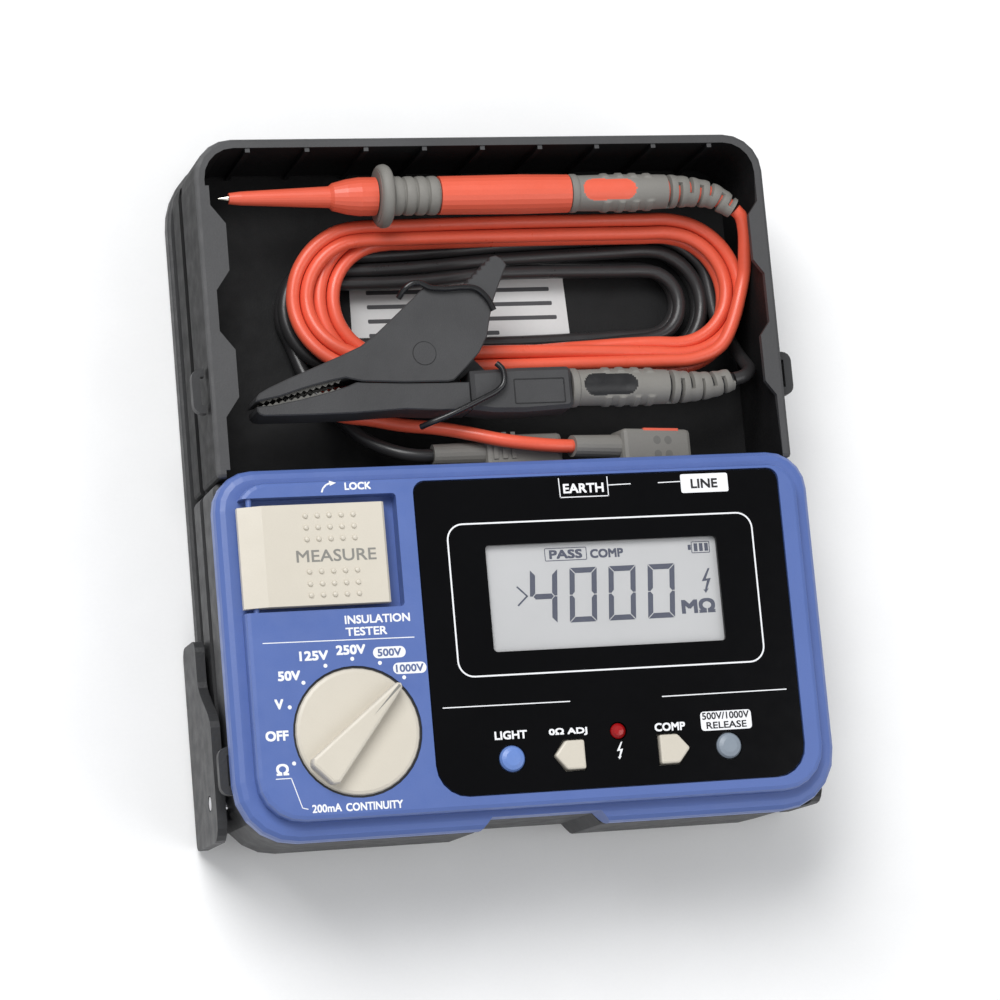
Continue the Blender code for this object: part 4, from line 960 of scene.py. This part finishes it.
def make_probe_guard():
    """Finger guard: a round-edged collar and a ribbed grip."""
    y, z = PROBE_AXIS
    profile = [(-27.85, 3.75), (-27.85, 6.6)]
    for i in range(9):
        angle = math.pi * (i - 1) / 8
        profile.append((-26.15 - 1.7 * math.cos(angle), 6.75 + 1.4 * max(0.0, math.sin(angle))))
    profile.append((-24.4, 5.0))
    for i in range(4):
        x = -24.1 + i * 3.1
        profile += [(x, 4.35), (x + 0.3, 4.85), (x + 1.1, 5.0)]
        profile += [(x + 2.2, 5.0), (x + 2.6, 4.8), (x + 2.75, 4.35)]
    profile += [(-11.75, 4.35), (-11.7, 3.75)]
    profile.sort(key=lambda pair: pair[0])
    guard = piece(
        "probe_guard",
        revolved("probe_guard", profile, y, z),
        "grey_rubber",
        "base",
        40,
    )
    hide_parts("probe_finger_guard")


def comb(points, count, depth, down):
    """Teeth along a line, as an outline."""
    (x0, y0), (x1, y1) = points
    outline = []
    sign = -1 if down else 1
    for i in range(count):
        t0, t1 = i / count, (i + 0.55) / count
        outline.append((x0 + (x1 - x0) * t0, y0 + (y1 - y0) * t0))
        outline.append((x0 + (x1 - x0) * t1, y0 + (y1 - y0) * t1 + sign * depth))
    outline.append((x1, y1))
    outline.append((x1, y1 - sign * 0.6))
    outline.append((x0, y0 - sign * 0.5))
    return outline


def make_clip():
    """Crocodile clip: moulded jaws with steel teeth, a ribbed lever and a wire bail."""
    back, front = 32.0, 43.0
    lower_front = 42.2
    upper = [
        (-64.3, 17.5), (-64.0, 18.6), (-63.2, 19.6), (-60.8, 20.9), (-55.7, 23.1), (-48.5, 25.9),
        (-42.0, 28.5), (-36.6, 30.8), (-33.0, 33.3), (-29.0, 36.7), (-18.9, 45.6), (-8.6, 45.3),
    ]
    steps = 7
    for i in range(steps):
        t0, t1 = i / steps, (i + 0.5) / steps
        for t, out in ((t0, 0.0), (t1, 0.55)):
            upper.append((-8.6 + 8.6 * t - out * 0.6, 45.3 + 7.9 * t + out * 0.7))
    upper += [
        (0.6, 53.4), (2.0, 52.6), (3.2, 50.9), (1.0, 46.4), (-0.9, 42.2), (-2.2, 38.0),
        (-2.9, 35.2), (-3.5, 32.6), (-6.2, 29.0), (-11.0, 26.6), (-20.3, 25.8), (-30.0, 24.6),
        (-37.0, 23.2), (-41.0, 22.9), (-45.0, 22.2), (-49.0, 21.3), (-52.4, 20.4), (-58.0, 18.7),
    ]
    plate = upper[:-11] + [
        (-3.5, 32.6), (-5.9, 28.4), (-9.7, 24.6), (-13.1, 21.5), (-14.6, 21.2), (-26.0, 21.3),
        (-36.8, 21.9), (-39.5, 22.5), *upper[-5:],
    ]
    work = bmesh.new()
    add_prism(work, upper, back, lower_front + 0.1)
    add_prism(work, plate, lower_front + 0.1, front, 0.3)
    mesh = mesh_from(work, "clip_upper_shell")
    jaw = piece("clip_upper_shell", mesh, "clip_plastic", "clip_upper_jaw", 30)
    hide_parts("clip_upper_jaw")
    work = bmesh.new()
    lower = [
        (-63.9, 16.4), (-63.9, 15.2), (-63.3, 14.4), (-62.2, 14.0), (-50.0, 13.9), (-39.0, 14.0),
        (-26.0, 14.6), (-17.0, 14.0), (-9.0, 13.9), (-9.0, 21.0), (-26.0, 21.4), (-38.0, 21.9),
        (-40.5, 20.9), (-45.0, 19.6), (-52.6, 17.9), (-60.1, 16.6),
    ]
    add_prism(work, lower, back, lower_front, 0.3)
    wing = [(-13.5, 24.2), (-1.6, 24.0), (-1.6, 26.0), (-6.6, 31.4), (-10.5, 33.0), (-14.5, 31.0)]
    add_prism(work, wing, 31.7 - 1.6, 31.7)
    grip = [
        (-8.6, 14.0), (-3.0, 13.2), (5.0, 13.0), (17.0, 13.6), (18.0, 14.6), (18.0, 23.6),
        (17.0, 24.4), (4.0, 24.4), (-1.0, 24.2), (-8.6, 23.9),
    ]
    add_prism(work, grip, 32.9, 42.4, 1.0)
    add_box(work, (-13.6, 16.0, 30.2), (-9.0, 24.6, 33.6))
    mesh = mesh_from(work, "clip_lower_shell")
    low_shell = piece("clip_lower_shell", mesh, "clip_plastic", "base", 30)
    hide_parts("clip_lower_jaw")
    work = bmesh.new()
    add_frame(work, rounded(2.4, 15.8, 14.9, 21.4, 0.4, 3), 0.28, 42.35, 42.5)
    piece("clip_grip_frame", mesh_from(work, "clip_grip_frame"), "clip_gloss", "base", 0)
    for name, body, points, down in (
        ("clip_upper_teeth", "clip_upper_jaw", ((-63.0, 17.6), (-42.0, 22.5)), True),
        ("clip_lower_teeth", "base", ((-63.0, 16.2), (-42.0, 20.3)), False),
    ):
        work = bmesh.new()
        outline = comb(points, 13, 0.6, down)
        for low in (33.6, 40.9):
            add_prism(work, outline, low, low + 0.6)
        piece(name, mesh_from(work, name), "teeth", body, 0)
    bail, _ = curve_tube(
        "clip_wire_lower",
        [(-2.0, 25.3, 43.6), (-0.6, 23.6, 44.0), (-0.6, 20.2, 44.0), (-2.2, 18.4, 44.0),
         (-7.3, 15.9, 44.1), (-15.4, 12.4, 43.6), (-19.6, 11.0, 42.4), (-22.0, 10.3, 40.0)],
        0.75,
        "wire",
        0.7,
    )
    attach(bail, "base")
    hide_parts("clip_bail")
    hump, _ = curve_tube(
        "clip_wire_upper",
        [(-25.4, 43.2, 41.6), (-24.2, 45.0, 43.4), (-22.3, 46.3, 43.9), (-20.2, 46.4, 44.0),
         (-17.8, 45.2, 44.0), (-13.9, 44.8, 44.0), (-9.4, 45.0, 44.0), (-5.6, 44.6, 44.0),
         (-2.9, 42.0, 43.9), (-1.4, 39.0, 43.6)],
        0.75,
        "wire",
        0.7,
    )
    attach(hump, "clip_upper_jaw")
    work = bmesh.new()
    x, y = -20.3, 28.5
    add_disc(work, x, y, 3.1, 43.0, 43.03, 40)
    piece("clip_pivot_ring", mesh_from(work, "clip_pivot_ring"), "clip_gloss", "base", 0)
    work = bmesh.new()
    add_disc(work, x, y, 2.88, 43.03, 43.08, 40)
    mesh = mesh_from(work, "clip_pivot_cap")
    pin = piece("clip_pivot_cap", mesh, "clip_plastic", "base", 0)
    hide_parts("clip_pivot_pin")


def make_plug_details():
    """Dimples drawn as discs of painted shade, ribs and the coloured strip on the right-angle plugs."""
    grey = LOOKS["grey_rubber"]
    for name in ("red_plug", "black_plug"):
        materials = NODES[name].data.materials
        materials.clear()
        materials.append(grey)
    tilt = Matrix.Translation(point(44.5, 0, 30)) @ Matrix.Rotation(math.radians(13), 4, "Y")
    tilt = tilt @ Matrix.Translation(point(-44.5, 0, -30))
    # Dimples as flat discs of a darker grey than the rubber: painted shade for their hollows.
    work = bmesh.new()
    for x in (40.6, 43.9):
        for y in (5.9, 2.2):
            add_disc(work, x, y, 1.1, 33.9, 34.03, 24)
    work.transform(tilt)
    piece("red_plug_dimples_painted_shade", mesh_from(work, "red_plug_dimples_painted_shade"), "grey_shade", "base", 0)
    work = bmesh.new()
    add_box(work, (37.0, 8.0, 33.0), (47.4, 9.06, 33.75))
    work.transform(tilt)
    piece("red_plug_strip", mesh_from(work, "red_plug_strip"), "red", "base", 0)
    work = bmesh.new()
    for x in (-12.0, -9.6, -7.2):
        add_box(work, (x + 10.0, 2.6, 33.95), (x + 11.2, 9.4, 34.35))
    piece("black_plug_ribs", mesh_from(work, "black_plug_ribs"), "grey_rubber", "base", 0)


# ---------------------------------------------------------------- everything in order

make_camera()
make_studio()
dress_nodes()
leads = make_leads()
make_boots()
make_probe_guard()
make_clip()
make_plug_details()
print_front()
print_panel()
print_key()
print_display()
make_tray_label()
